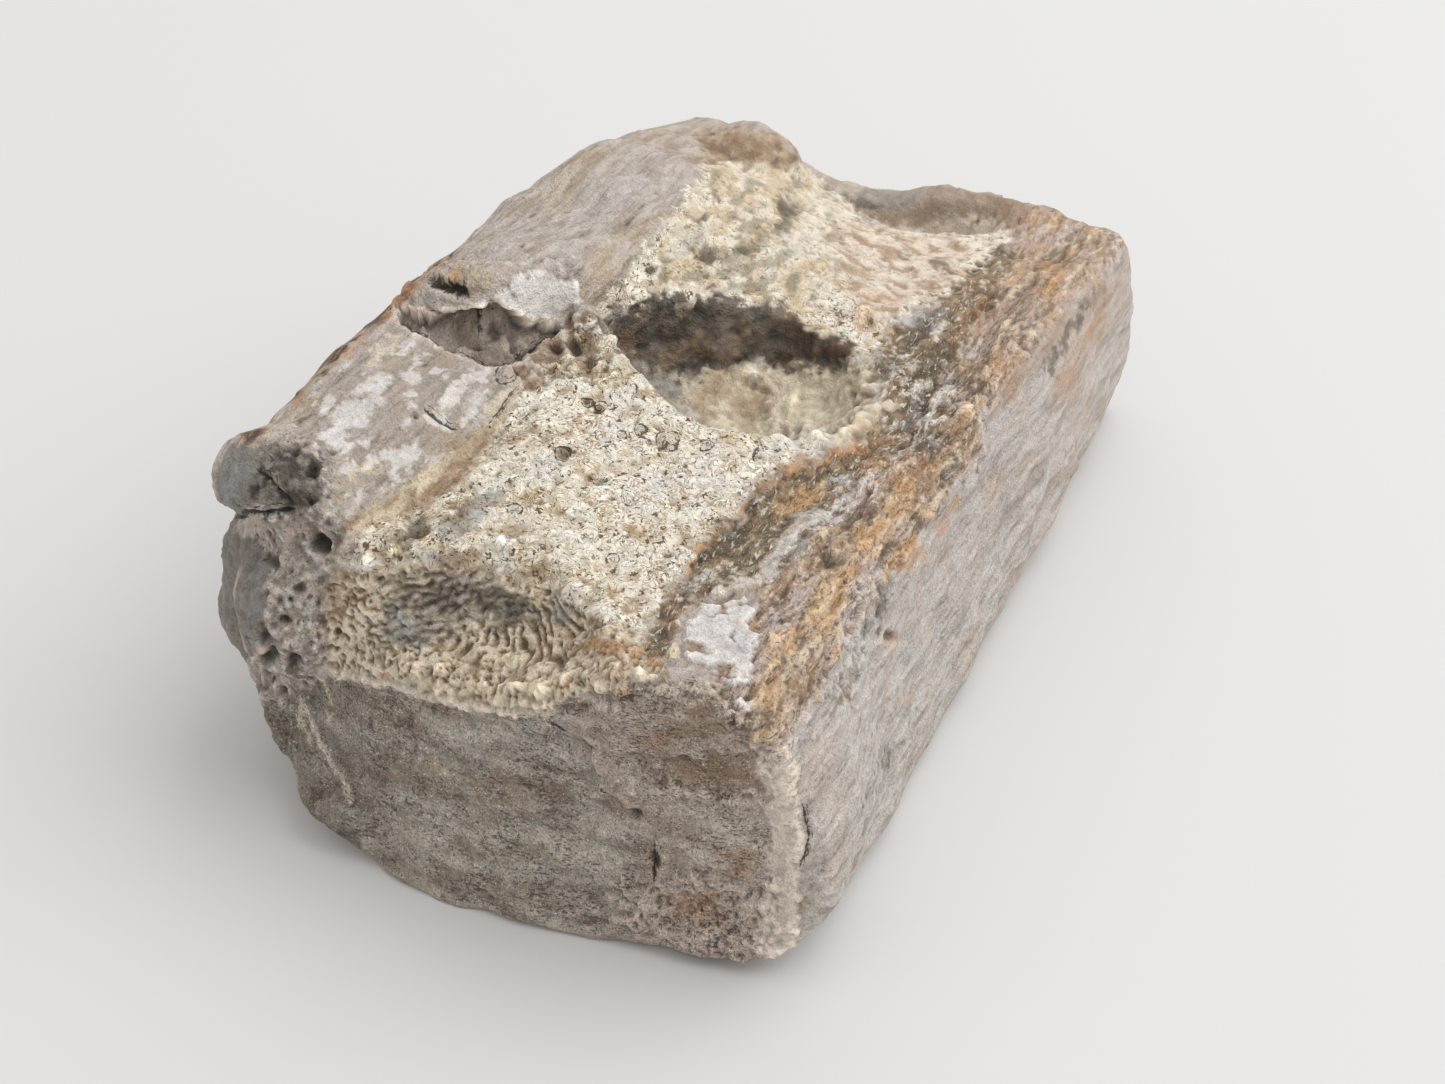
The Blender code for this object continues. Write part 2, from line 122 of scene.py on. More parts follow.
# Parts of the surface as outlines in pixels, each with how far its edge is frayed. An outline holds for what
# the camera sees.
REGIONS = {
    "open_bone": (9, (
        (352, 546), (372, 528), (420, 506), (466, 484), (486, 444), (508, 412), (538, 378), (556, 358),
        (574, 330), (590, 316), (606, 298), (640, 255), (664, 222), (690, 192), (704, 158), (790, 156),
        (820, 184), (846, 206), (872, 226), (950, 234), (1012, 230), (1004, 250), (962, 284), (928, 306),
        (888, 324), (872, 345), (890, 400), (868, 436), (820, 446), (786, 462), (752, 495), (717, 535),
        (693, 557), (667, 590), (650, 622), (634, 650), (600, 640), (560, 612), (520, 592), (470, 580),
        (420, 580), (380, 584), (350, 596), (330, 580),
    )),
    "scoop": (12, (
        (372, 574), (420, 566), (470, 568), (520, 580), (560, 596), (600, 622), (642, 640), (664, 664),
        (648, 690), (600, 698), (550, 715), (480, 708), (430, 694), (325, 668), (310, 640), (316, 600),
        (330, 575),
    )),
    "scoop_shade": (16, (
        (388, 582), (430, 570), (480, 572), (520, 588), (546, 606), (530, 622), (490, 622), (450, 630),
        (420, 652), (384, 650), (372, 620),
    )),
    "groove": (9, (
        (873, 484), (835, 498), (800, 520), (772, 552), (742, 580), (706, 592), (684, 620), (680, 652),
        (660, 676), (646, 656), (654, 616), (672, 592), (697, 562), (720, 538), (752, 505), (782, 476),
        (815, 462), (862, 448), (892, 406), (876, 365), (892, 330), (930, 308), (960, 285), (1002, 250),
        (1014, 262), (990, 300), (964, 345), (948, 400), (930, 446),
    )),
    "inner_edge": (10, (
        (686, 690), (712, 690), (752, 640), (760, 583), (793, 543), (827, 510), (873, 480), (902, 442),
        (935, 400), (964, 350), (985, 300), (1008, 258), (1030, 205), (1085, 212), (1130, 240),
        (1112, 262), (1034, 338), (1000, 400), (972, 462), (912, 550), (862, 610), (838, 660), (812, 706),
        (792, 744), (772, 768), (752, 752), (730, 712),
    )),
    "flecks": (12, (
        (752, 572), (790, 532), (826, 502), (866, 474), (905, 440), (900, 402), (880, 376), (900, 352),
        (940, 366), (960, 392), (940, 440), (900, 476), (862, 500), (820, 530), (784, 560), (766, 584),
    )),
    "filling": (7, (
        (325, 673), (430, 698), (480, 708), (550, 717), (568, 696), (604, 688), (650, 684), (692, 684),
        (730, 706), (756, 744), (778, 800), (786, 860), (776, 920), (796, 990), (640, 990), (500, 960),
        (330, 900), (230, 760), (255, 700), (300, 690),
    )),
    "broken": (9, (
        (262, 440), (296, 432), (330, 462), (332, 500), (352, 540), (335, 560), (322, 600), (328, 668),
        (300, 704), (262, 706), (244, 640), (262, 600), (252, 545), (258, 510), (254, 470),
    )),
    "flake_face": (3, (
        (395, 310), (420, 317), (441, 316), (462, 309), (477, 302), (500, 307), (517, 320), (535, 322),
        (552, 318), (562, 325), (550, 335), (532, 348), (515, 358), (495, 362), (477, 358), (457, 353),
        (435, 341), (412, 328),
    )),
    "flake_top": (8, (
        (474, 300), (500, 285), (540, 274), (580, 280), (572, 306), (548, 318), (520, 318), (500, 306),
    )),
    "peak": (8, (
        (510, 372), (528, 350), (552, 330), (574, 310), (594, 312), (606, 330), (600, 350), (616, 366),
        (596, 380), (574, 376), (548, 384), (524, 396),
    )),
    # The middle socket's far wall, painted dark as the shade under its rim.
    "socket_wall_shade": (13, (
        (600, 322), (622, 306), (660, 297), (720, 296), (770, 306), (800, 320), (852, 345), (856, 360),
        (820, 366), (780, 368), (740, 362), (704, 372), (674, 376), (646, 370), (622, 350),
    )),
    "socket_red": (10, ((768, 306), (800, 318), (854, 345), (858, 366), (826, 372), (790, 376), (770, 350))),
    "chip": (3, (
        (686, 640), (700, 606), (722, 596), (744, 604), (756, 630), (754, 660), (744, 688), (734, 690),
        (718, 672), (700, 664), (684, 656),
    )),
    "chip_ends": (3, ((733, 700), (740, 693), (756, 703), (752, 712), (738, 712))),
    "brown_bed": (14, ((636, 768), (700, 752), (772, 746), (772, 794), (720, 792), (668, 784))),
    "corner_rim": (11, (
        (758, 748), (784, 742), (799, 780), (807, 858), (798, 905), (806, 950), (772, 972), (758, 930),
        (772, 880), (772, 820),
    )),
    "far_cream": (12, (
        (668, 232), (700, 190), (712, 162), (790, 160), (822, 190), (840, 240), (842, 290), (800, 308),
        (740, 292), (676, 290), (640, 296),
    )),
    "far_tan": (14, (
        (838, 220), (880, 232), (960, 240), (968, 262), (930, 300), (880, 318), (852, 310), (836, 270),
    )),
    "knob": (7, ((700, 138), (730, 130), (784, 132), (806, 160), (780, 170), (740, 160), (704, 164))),
    "crease": (12, (
        (338, 520), (380, 500), (430, 470), (470, 436), (500, 404), (520, 384), (536, 384), (512, 420),
        (486, 458), (466, 488), (420, 508), (372, 534), (345, 540),
    )),
    "rough_patch": (14, (
        (880, 548), (906, 560), (890, 600), (868, 650), (846, 700), (830, 700), (846, 650), (862, 600),
    )),
    "near_band": (14, (
        (290, 430), (330, 380), (380, 340), (404, 330), (450, 356), (500, 370), (506, 392), (470, 430),
        (430, 468), (380, 492), (345, 508), (322, 470),
    )),
    "smooth_lumps": (5, (
        (212, 470), (236, 446), (262, 448), (266, 476), (256, 506), (232, 524), (250, 540), (268, 548),
        (272, 584), (264, 630), (250, 668), (236, 660), (214, 600),
    )),
    "dark_lump": (6, ((258, 452), (292, 444), (318, 462), (322, 500), (300, 516), (266, 512), (254, 488))),
    "flake_face_shade": (4, (
        (452, 318), (478, 312), (482, 334), (500, 344), (512, 356), (496, 364), (476, 358), (470, 338),
        (454, 330),
    )),
    "stone_green": (30, (
        (250, 690), (330, 676), (470, 712), (560, 730), (600, 800), (640, 840), (600, 935), (480, 920),
        (340, 850), (250, 740),
    )),
    "socket_slope": (24, ((760, 372), (820, 366), (866, 372), (866, 430), (820, 440), (770, 436))),
    "flake_layer": (16, (
        (388, 304), (420, 316), (441, 315), (462, 308), (477, 301), (500, 306), (517, 319), (552, 317),
        (584, 296), (560, 262), (500, 262), (440, 272), (404, 290),
    )),
    "stone_step": (3, (
        (556, 716), (577, 737), (594, 750), (604, 790), (624, 803), (657, 822), (652, 850), (655, 880),
        (634, 906), (600, 935), (640, 990), (800, 990), (800, 740), (700, 680),
    )),
    "rough_stone": (14, ((612, 884), (680, 864), (778, 872), (790, 960), (700, 968), (640, 950))),
    "far_hollow": (8, (
        (846, 192), (900, 186), (960, 190), (1046, 206), (1054, 232), (1000, 234), (940, 226), (872, 224),
    )),
}

# The browned outer edge of the near half, in pixels.
OUTER_EDGE = ((246, 432), (300, 380), (350, 334), (430, 272), (490, 222))
# The thin orange-brown seam between the open bone and the groove, in pixels.
OCHRE_SEAM = ((872, 448), (832, 456), (796, 468), (768, 486), (744, 508), (722, 528), (700, 552), (686, 572))

# Stains, and some painted highlights and shade, in pixels: middle, half length, half width, turn in degrees
# (positive is clockwise).
STAINS_AND_PAINTED_LIGHT = {
    "edge_gold": (
        (868, 540, 26, 14, -58), (838, 590, 22, 13, -60), (852, 566, 16, 10, -50), (790, 640, 10, 16, 10),
        (772, 650, 9, 15, 10), (902, 560, 10, 26, 40), (895, 500, 22, 14, -50), (822, 625, 12, 18, 25),
        (802, 500, 26, 8, -25), (770, 700, 10, 20, -20), (875, 470, 20, 8, -20),
    ),
    "orange": (
        (400, 303, 26, 5, -42), (352, 350, 30, 4, -40), (296, 398, 14, 4, -40), (455, 278, 12, 5, -10),
        (792, 464, 22, 3, -30), (742, 508, 26, 3, -42), (702, 548, 14, 3, -45), (806, 498, 20, 6, -25),
        (868, 538, 15, 8, -58), (846, 574, 14, 8, -60), (834, 600, 12, 9, -60), (898, 474, 22, 11, -50),
        (912, 556, 9, 20, 38), (948, 512, 5, 24, 32), (772, 640, 6, 9, 10), (890, 640, 6, 10, 20),
        (860, 318, 9, 12, 0), (1003, 356, 13, 22, 35), (1050, 278, 14, 20, 35), (1038, 228, 18, 9, 10),
        (985, 330, 8, 12, 30), (655, 664, 16, 5, 0), (622, 688, 12, 3, 0), (556, 690, 16, 3, 5),
        (1072, 372, 8, 30, 32), (1096, 330, 8, 26, 30), (724, 620, 14, 2.5, -40), (736, 642, 12, 2.5, -40),
        (497, 428, 12, 3, -45), (905, 698, 5, 12, 25), (600, 644, 18, 8, 20), (634, 650, 10, 10, 0),
        (930, 462, 10, 8, -40), (715, 636, 12, 2, -40), (960, 420, 6, 12, 30), (880, 300, 20, 8, 0),
    ),
    "rust": (
        (466, 468, 26, 8, -38), (436, 492, 18, 6, -35), (420, 268, 14, 5, -42), (610, 655, 30, 12, 10),
        (780, 478, 26, 4, -28), (880, 440, 20, 6, -10), (1012, 380, 8, 24, 34), (1030, 250, 18, 12, 20),
        (660, 735, 26, 10, 0), (700, 905, 40, 18, 5), (740, 860, 20, 14, 0), (815, 560, 16, 10, -50),
    ),
    "brown": (
        (785, 585, 12, 22, 20), (812, 548, 12, 18, 30), (806, 620, 12, 22, 25), (926, 458, 16, 10, -40),
        (794, 690, 10, 24, 20), (975, 384, 12, 16, 30), (752, 486, 26, 4, -36), (740, 146, 40, 8, 0),
        (524, 430, 22, 4, -50), (700, 770, 44, 12, -3), (558, 470, 9, 4, 0), (575, 520, 12, 6, 0),
        (410, 530, 30, 5, -18), (455, 560, 30, 6, -15), (548, 548, 18, 5, 30), (596, 624, 18, 6, 30),
        (640, 655, 9, 14, 0), (860, 452, 24, 5, -14), (690, 900, 30, 12, 5), (510, 790, 50, 14, 8),
        (970, 440, 9, 16, 30), (400, 514, 36, 4, -20), (540, 640, 8, 20, -20), (570, 640, 7, 20, -10),
        (520, 530, 14, 5, 20), (540, 572, 14, 5, 20), (640, 600, 16, 8, -45), (660, 572, 14, 5, -45),
        (620, 340, 10, 22, -30), (980, 300, 10, 16, 30), (1090, 300, 6, 26, 36), (470, 284, 18, 5, 5),
        (840, 700, 5, 22, 30), (500, 850, 60, 10, 5), (450, 770, 40, 9, 10), (330, 600, 8, 30, 5),
        (690, 722, 50, 12, 0), (606, 648, 30, 12, 8), (914, 472, 20, 20, 30), (1030, 300, 16, 26, 35),
        (462, 452, 26, 5, -42), (456, 512, 20, 10, -20),
    ),
    # Dark spots; those under the low lump at the left of the near face, in the near socket's dark back part and on
    # the middle socket's far wall are painted shade.
    "dark": (
        (417, 527, 13, 11, -10), (404, 540, 10, 7, 0), (396, 604, 16, 8, -30), (440, 596, 26, 10, -10),
        (512, 606, 10, 18, 20), (488, 600, 14, 16, 0), (452, 286, 18, 3, 8), (728, 536, 24, 17, -42),
        (760, 500, 20, 8, -40), (684, 602, 12, 8, -40), (664, 640, 12, 14, 0), (704, 562, 14, 9, -40),
        (918, 332, 18, 9, -34), (880, 376, 8, 14, 10), (914, 412, 10, 20, 30), (944, 356, 9, 18, 30),
        (978, 390, 7, 14, 20), (790, 206, 11, 8, 40), (785, 226, 7, 13, 25), (745, 250, 15, 7, -8),
        (706, 255, 15, 6, 15), (702, 220, 8, 3, -50), (650, 272, 7, 4, 0), (907, 253, 7, 4, 10),
        (943, 268, 8, 8, 30), (1003, 252, 9, 7, 0), (866, 202, 20, 6, 12), (597, 410, 5, 4, 0),
        (563, 453, 8, 5, 0), (620, 285, 6, 4, 0), (322, 545, 11, 9, 0), (268, 655, 5, 14, 10),
        (294, 662, 6, 14, -10), (345, 838, 22, 12, 30), (312, 800, 8, 12, 0), (884, 765, 2.5, 24, 30),
        (866, 800, 2, 16, 32), (882, 616, 3, 24, 14), (636, 812, 12, 2.5, 20), (822, 552, 7, 6, -30),
        (835, 566, 5, 7, 0), (925, 372, 8, 8, 0), (1018, 292, 5, 5, 0), (770, 345, 26, 9, 0),
        (700, 322, 20, 18, 0), (262, 690, 5, 5, 0), (302, 420, 12, 3, -20), (370, 395, 10, 3, -30),
        (500, 446, 16, 2, -45), (470, 462, 16, 2, -42), (290, 470, 14, 10, 30), (306, 494, 10, 10, 0),
        (655, 858, 4, 8, 0), (624, 835, 5, 4, 0), (930, 446, 14, 8, -40),
        (950, 470, 6, 16, 30), (820, 358, 18, 6, 10), (650, 335, 12, 12, 0), (1065, 340, 6, 40, 34),
    ),
    # Blue-grey spots; the first two, where the band meets the open bone, are painted shadow.
    "blue_grey": (
        (468, 510, 34, 15, -25), (455, 528, 24, 10, 0), (408, 636, 18, 9, -20), (228, 482, 16, 22, -20),
        (880, 200, 30, 9, 5), (930, 318, 14, 12, 0), (775, 480, 18, 4, -25), (252, 585, 8, 30, 8),
        (800, 545, 7, 14, 30), (665, 388, 16, 8, 30), (560, 615, 14, 7, 10), (556, 600, 12, 8, 0),
        (430, 560, 12, 6, 0), (700, 545, 8, 4, -40), (846, 478, 10, 5, -20), (612, 322, 12, 8, 0),
    ),
    # Pale blue-grey spots; the two small ones in the near socket's dark back part are painted glints.
    "pale_blue": (
        (480, 514, 12, 8, 0), (415, 626, 8, 3, -30), (398, 622, 6, 3, -20), (640, 366, 12, 3, 40),
        (684, 414, 22, 3, 26), (840, 482, 16, 4, -20), (775, 556, 14, 3, -45), (905, 320, 16, 6, 10),
    ),
    "white": (
        (862, 360, 17, 8, 0), (717, 590, 14, 5, -20), (688, 592, 7, 5, 0), (677, 627, 7, 4, -30),
        (880, 478, 10, 4, 30), (835, 505, 18, 3, -30), (780, 560, 26, 3, -50), (905, 395, 11, 5, -20),
        (925, 420, 12, 5, 20), (900, 425, 9, 4, -30), (940, 330, 8, 6, 0), (745, 582, 14, 4, -20),
        (650, 490, 36, 20, -30), (790, 446, 44, 10, -8), (545, 470, 26, 14, -35), (620, 440, 30, 18, 0),
        (690, 480, 36, 22, -40), (372, 558, 12, 5, -20), (560, 602, 10, 5, 0),
        (950, 402, 8, 4, 20), (972, 352, 7, 5, 0), (800, 240, 20, 12, 10), (690, 240, 26, 8, -30),
        (876, 392, 8, 6, 0), (890, 372, 6, 8, 30), (916, 386, 5, 8, 30), (700, 582, 12, 4, -20),
        (680, 560, 26, 7, -45), (756, 372, 10, 14, 10), (740, 578, 10, 4, 0), (640, 380, 8, 4, 30),
    ),
    "cream": (
        (747, 378, 16, 14, 20), (793, 413, 12, 8, 0), (370, 522, 26, 6, -20), (420, 484, 22, 6, -25),
        (820, 392, 16, 12, 0), (965, 416, 8, 11, 10), (470, 690, 60, 4, 12), (545, 702, 18, 4, 10),
        (600, 684, 12, 5, 0), (510, 660, 12, 10, 20), (345, 556, 12, 6, -20), (673, 652, 8, 10, 0),
        (330, 700, 3, 36, -18), (304, 720, 3, 30, -20), (390, 552, 16, 6, 0), (540, 690, 18, 8, 0),
        (640, 676, 12, 4, 0), (450, 400, 40, 3, -42), (380, 350, 22, 8, -42), (366, 470, 20, 5, -20), (500, 400, 20, 4, -45),
    ),
    "lilac": (
        (860, 488, 20, 8, -30), (1024, 306, 17, 18, 0), (770, 620, 6, 24, 20), (738, 660, 10, 12, 0),
        (330, 300, 30, 6, -40), (610, 200, 40, 12, -35), (560, 260, 26, 10, -35), (455, 560, 10, 6, 0),
        (710, 640, 10, 18, 10), (990, 440, 10, 40, 34), (940, 380, 14, 6, -30), (590, 640, 14, 8, 10),
        (505, 255, 34, 14, -25),
    ),
    # Painted highlights: where the glossy band and the flake's top reflect the light.
    "highlight_white": (
        (352, 412, 30, 18, -35), (338, 444, 10, 9, -20), (398, 456, 24, 6, -20), (440, 420, 14, 8, -10),
        (450, 396, 17, 8, -35), (476, 374, 15, 8, -20), (412, 340, 20, 5, -35), (520, 298, 22, 11, -12),
        (545, 290, 12, 8, 0), (436, 374, 10, 3, -30), (378, 388, 18, 6, -35), (420, 360, 14, 4, -35),
        (345, 470, 10, 5, -20), (372, 464, 9, 5, -10), (470, 412, 8, 3, -30), (396, 476, 12, 3, -20),
    ),
}

# Cracks and slits in pixels: points, half width in pixels, depth (below zero stands out).
CRACKS = (
    (((424, 407), (440, 420), (458, 429)), 1.3, 0.3),
    (((432, 284), (452, 287), (474, 291)), 4.5, 1.1),
    (((516, 388), (500, 410), (484, 430)), 0.6, 0.1),
    (((255, 468), (268, 478), (283, 492), (292, 505)), 1.4, 0.4),
    (((228, 516), (262, 514), (300, 508)), 1.9, 0.5),
    (((540, 722), (577, 737), (594, 750)), 1.0, 0.15),
    (((594, 780), (604, 790), (624, 803), (657, 822)), 1.0, 0.15),
    (((656, 838), (653, 862), (655, 880)), 1.0, 0.15),
    (((803, 800), (808, 834), (800, 868)), 0.9, 0.15),
    (((757, 446), (751, 460)), 0.9, 0.15),
    (((474, 304), (478, 330)), 1.1, 0.3),
    (((395, 312), (430, 338), (470, 356), (500, 364), (530, 350), (560, 326)), 1.2, 0.3),
    (((352, 802), (330, 760), (316, 730), (300, 706)), 0.8, -0.1),
    (((327, 671), (400, 689), (480, 707), (545, 715)), 3.2, -0.3),
    (((396, 310), (424, 313), (450, 309), (477, 303), (500, 307), (520, 315), (548, 319)), 2.0, -0.2),
)

# Rings of old bone channels in pixels: middle, radius.
RINGS = (
    (587, 402, 6), (600, 408, 7), (562, 454, 8), (642, 430, 6), (706, 445, 7), (515, 510, 8), (622, 436, 5),
    (668, 440, 12), (612, 560, 6), (506, 374, 11),
)

# Pits and grains in pixels: middle, radius in pixels, depth (below zero stands out).
PITS = (
    (597, 410, 5, 0.5), (587, 400, 5, 0.4), (563, 453, 8, 0.4), (600, 482, 6, 0.4), (417, 417, 4, 0.4),
    (322, 546, 12, 1.2), (417, 527, 15, 0.9), (270, 655, 9, 0.9), (295, 662, 9, 0.9), (282, 690, 7, 0.7),
    (262, 640, 7, 0.7), (790, 210, 15, 0.4), (745, 250, 13, 0.2), (706, 255, 13, 0.2), (650, 272, 7, 0.2),
    (965, 416, 11, -0.9), (772, 648, 11, -0.6), (673, 652, 9, -0.6), (690, 593, 6, -0.4),
    (717, 590, 9, -0.4), (677, 627, 6, -0.4), (560, 372, 8, -0.7), (575, 346, 9, 0.8), (556, 348, 8, 0.7),
    (590, 362, 8, 0.6), (610, 340, 9, -0.6), (470, 682, 7, -0.4), (440, 670, 7, -0.5), (420, 668, 6, -0.4),
    (520, 688, 8, -0.5), (545, 694, 8, -0.6), (600, 686, 8, -0.5), (622, 688, 7, -0.5), (640, 678, 8, -0.5),
    (345, 545, 9, -0.6), (368, 560, 9, -0.7), (395, 552, 8, -0.5), (330, 566, 7, -0.4), (860, 318, 11, -0.5),
    (747, 374, 15, -0.7), (793, 413, 11, -0.5), (500, 545, 8, -0.4), (312, 470, 9, 0.6), (296, 450, 7, 0.5),
    (310, 498, 8, 0.7), (275, 560, 9, 0.6), (300, 590, 8, 0.6), (285, 620, 8, 0.6), (655, 858, 8, 0.6),
    (636, 812, 8, 0.4), (890, 635, 8, 0.4), (668, 440, 11, -0.35),
    (506, 374, 10, -0.4), (830, 560, 10, 0.7), (560, 660, 8, 0.4), (606, 630, 7, -0.4), (740, 704, 8, -0.4),
    (500, 330, 8, 0.4), (520, 342, 7, 0.4), (480, 340, 6, 0.3), (980, 300, 9, -0.4), (920, 318, 10, -0.4),
)

RING_HALF_WIDTH = 1.1
LINE_REACH = 4.0

SCOOP_FAN = (512, 556)
SCOOP_RIB_TURNS = 52
SCOOP_RIPPLES = (0.15, 0.62)
# Where the far lip stands higher than the solid has it: from none to all of the rise, along each direction.
FAR_LIP = {"y": (37.0, 42.0), "left": (0.0, 6.0), "right": (23.0, 17.0), "z": (8.0, 16.0)}
FAR_LIP_RISE = 1.3
SOCKET_MIDDLE = (4.5, 0.5)
SOCKET_REACH = (12.0, 9.5)
SOCKET_FAN = (-6.0, 4.0)
ALONG = (1.0, 7.0, 1.0)
BEDS = (2.6, 1.0, 0.8)


def smooth_step(value, low, high):
    share = np.clip((value - low) / (high - low), 0, 1)
    return share * share * (3 - 2 * share)


def scramble(x, y, z, seed):
    """A whole number from 0 to 2**32 - 1 for each lattice point, the same on every run."""
    mixed = (x * 73856093) ^ (y * 19349663) ^ (z * 83492791) ^ (seed * 668265263)
    mixed = mixed & 0xFFFFFFFF
    mixed = ((mixed ^ (mixed >> 15)) * 2246822519) & 0xFFFFFFFF
    mixed = ((mixed ^ (mixed >> 13)) * 3266489917) & 0xFFFFFFFF
    return mixed ^ (mixed >> 16)


def share_of(number):
    return (number & 0xFFFF) / 65535.0


def waves(points, size, seed=0, octaves=1):
    """Smooth gradient noise from about -1 to 1, with lumps of one size and finer ones on top."""
    total = np.zeros(len(points))
    weight = 1.0
    for octave in range(octaves):
        spots = points / size + 31.7
        corner = np.floor(spots).astype(np.int64)
        inside = spots - corner
        blend = inside * inside * inside * (inside * (inside * 6 - 15) + 10)
        for step in np.ndindex(2, 2, 2):
            number = scramble(*(corner[:, axis] + step[axis] for axis in range(3)), seed + octave)
            turn = share_of(number) * 2 * math.pi
            height = share_of(number >> 16) * 2 - 1
            flat = np.sqrt(1 - height * height)
            slope = np.stack((flat * np.cos(turn), flat * np.sin(turn), height), axis=1)
            push = ((inside - step) * slope).sum(axis=1)
            for axis in range(3):
                push *= blend[:, axis] if step[axis] else 1 - blend[:, axis]
            total += push * (weight * 1.9)
        size /= 2.1
        weight *= 0.5
    return total


def cells(points, size, seed=0):
    """Distance to the nearest of scattered points, in sizes, and that point's own share from 0 to 1."""
    spots = points / size + 57.3
    corner = np.floor(spots).astype(np.int64)
    nearest = np.full(len(points), 9.0)
    own = np.zeros(len(points))
    for step in np.ndindex(3, 3, 3):
        place = [corner[:, axis] + step[axis] - 1 for axis in range(3)]
        number = scramble(*place, seed)
        other = scramble(*place, seed + 7)
        shares = (share_of(number), share_of(number >> 16), share_of(other))
        distance = np.sqrt(sum((spots[:, axis] - place[axis] - shares[axis]) ** 2 for axis in range(3)))
        own = np.where(distance < nearest, share_of(other >> 16), own)
        nearest = np.minimum(distance, nearest)
    return nearest, own


def linear_colour(name):
    """A palette colour as the linear light values that the shader takes."""
    screen = np.array(PALETTE[name]) / 255
    return np.where(screen > 0.04045, ((screen + 0.055) / 1.055) ** 2.4, screen / 12.92)


def camera_axes():
    azimuth = math.radians(CAMERA_AZIMUTH)
    elevation = math.radians(CAMERA_ELEVATION)
    flat = math.cos(elevation)
    back = np.array((math.sin(azimuth) * flat, -math.cos(azimuth) * flat, math.sin(elevation)))
    right = np.array((math.cos(azimuth), math.sin(azimuth), 0.0))
    return right, np.cross(back, right), back


def add_camera():
    data = bpy.data.cameras.new("photo_camera")
    data.sensor_width = 36.0
    data.lens = FOCAL_PIXELS / PHOTO_WIDTH * data.sensor_width
    data.clip_start = 0.01
    data.dof.use_dof = False
    camera = bpy.data.objects.new("photo_camera", data)
    bpy.context.scene.collection.objects.link(camera)
    turn = Matrix(np.array(camera_axes()).T.tolist()).to_4x4()
    camera.matrix_world = Matrix.Translation(Vector(CAMERA_PLACE) * MM) @ turn
    bpy.context.scene.camera = camera


def pixels_of(points):
    right, up, back = camera_axes()
    offset = points - np.array(CAMERA_PLACE)
    depth = -(offset @ back)
    across = PHOTO_WIDTH / 2 + FOCAL_PIXELS * (offset @ right) / depth
    down = PHOTO_HEIGHT / 2 - FOCAL_PIXELS * (offset @ up) / depth
    return np.stack((across, down), axis=1)


def line_distance(places, line):
    line = np.array(line, float)
    distance = np.full(len(places), np.inf)
    for start, end in zip(line, line[1:]):
        side = end - start
        offset = places - start
        share = np.clip(offset @ side / (side @ side), 0, 1)
        distance = np.minimum(distance, np.linalg.norm(offset - share[:, None] * side, axis=1))
    return distance


def line_sides(places, line):
    """Distance to a line, below zero on one side of it, and the share of the line that is passed by then."""
    line = np.array(line, float)
    lengths = np.linalg.norm(np.diff(line, axis=0), axis=1)
    nearest = np.full(len(places), np.inf)
    signed = np.zeros(len(places))
    along = np.zeros(len(places))
    passed = 0.0
    for start, end, length in zip(line, line[1:], lengths):
        side = end - start
        offset = places - start
        share = np.clip(offset @ side / length**2, 0, 1)
        distance = np.linalg.norm(offset - share[:, None] * side, axis=1)
        turn = np.sign(side[0] * offset[:, 1] - side[1] * offset[:, 0])
        closer = distance < nearest
        signed = np.where(closer, distance * turn, signed)
        along = np.where(closer, (passed + share * length) / lengths.sum(), along)
        nearest = np.minimum(distance, nearest)
        passed += length
    return signed, along


def inside_outline(places, outline, softness):
    """1 well inside an outline, 0 well outside it, 0.5 on its line."""
    outline = np.array(outline, float)
    distance = line_distance(places, np.concatenate((outline, outline[:1])))
    odd = np.zeros(len(places), bool)
    for start, end in zip(outline, np.roll(outline, -1, axis=0)):
        crosses = (start[1] > places[:, 1]) != (end[1] > places[:, 1])
        fall = end[1] - start[1] or 1e-9
        reach = start[0] + (end[0] - start[0]) * (places[:, 1] - start[1]) / fall
        odd ^= crosses & (places[:, 0] < reach)
    return np.clip(0.5 + np.where(odd, distance, -distance) / (2 * softness), 0, 1)


def spot_cover(places, spots):
    """1 in the middle of any of the spots, 0.5 at its edge, 0 at one and a half times its size."""
    cover = np.zeros(len(places))
    for across, down, half_length, half_width, turn in spots:
        angle = math.radians(turn)
        offset = places - (across, down)
        along = (offset[:, 0] * math.cos(angle) + offset[:, 1] * math.sin(angle)) / half_length
        aside = (offset[:, 1] * math.cos(angle) - offset[:, 0] * math.sin(angle)) / half_width
        cover = np.maximum(cover, np.clip(1.5 - np.hypot(along, aside), 0, 1))
    return cover


def apply_modifiers(piece):
    graph = bpy.context.evaluated_depsgraph_get()
    mesh = bpy.data.meshes.new_from_object(piece.evaluated_get(graph))
    old = piece.data
    piece.modifiers.clear()
    piece.data = mesh
    bpy.data.meshes.remove(old)


def fine_skin():
    """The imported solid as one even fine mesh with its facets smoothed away."""
    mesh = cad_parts[NODE].data.copy()
    mesh.materials.clear()
    weld = bmesh.new()
    weld.from_mesh(mesh)
    bmesh.ops.remove_doubles(weld, verts=weld.verts, dist=1e-6)
    weld.to_mesh(mesh)
    weld.free()
    piece = bpy.data.objects.new("jaw_bone_surface", mesh)
    bpy.context.scene.collection.objects.link(piece)
    remesh = piece.modifiers.new("even_skin", "REMESH")
    remesh.mode = "VOXEL"
    remesh.voxel_size = SKIN_EDGE * MM
    soften = piece.modifiers.new("soften", "SMOOTH")
    soften.factor = 0.5
    soften.iterations = SKIN_SMOOTHING
    apply_modifiers(piece)
    return piece


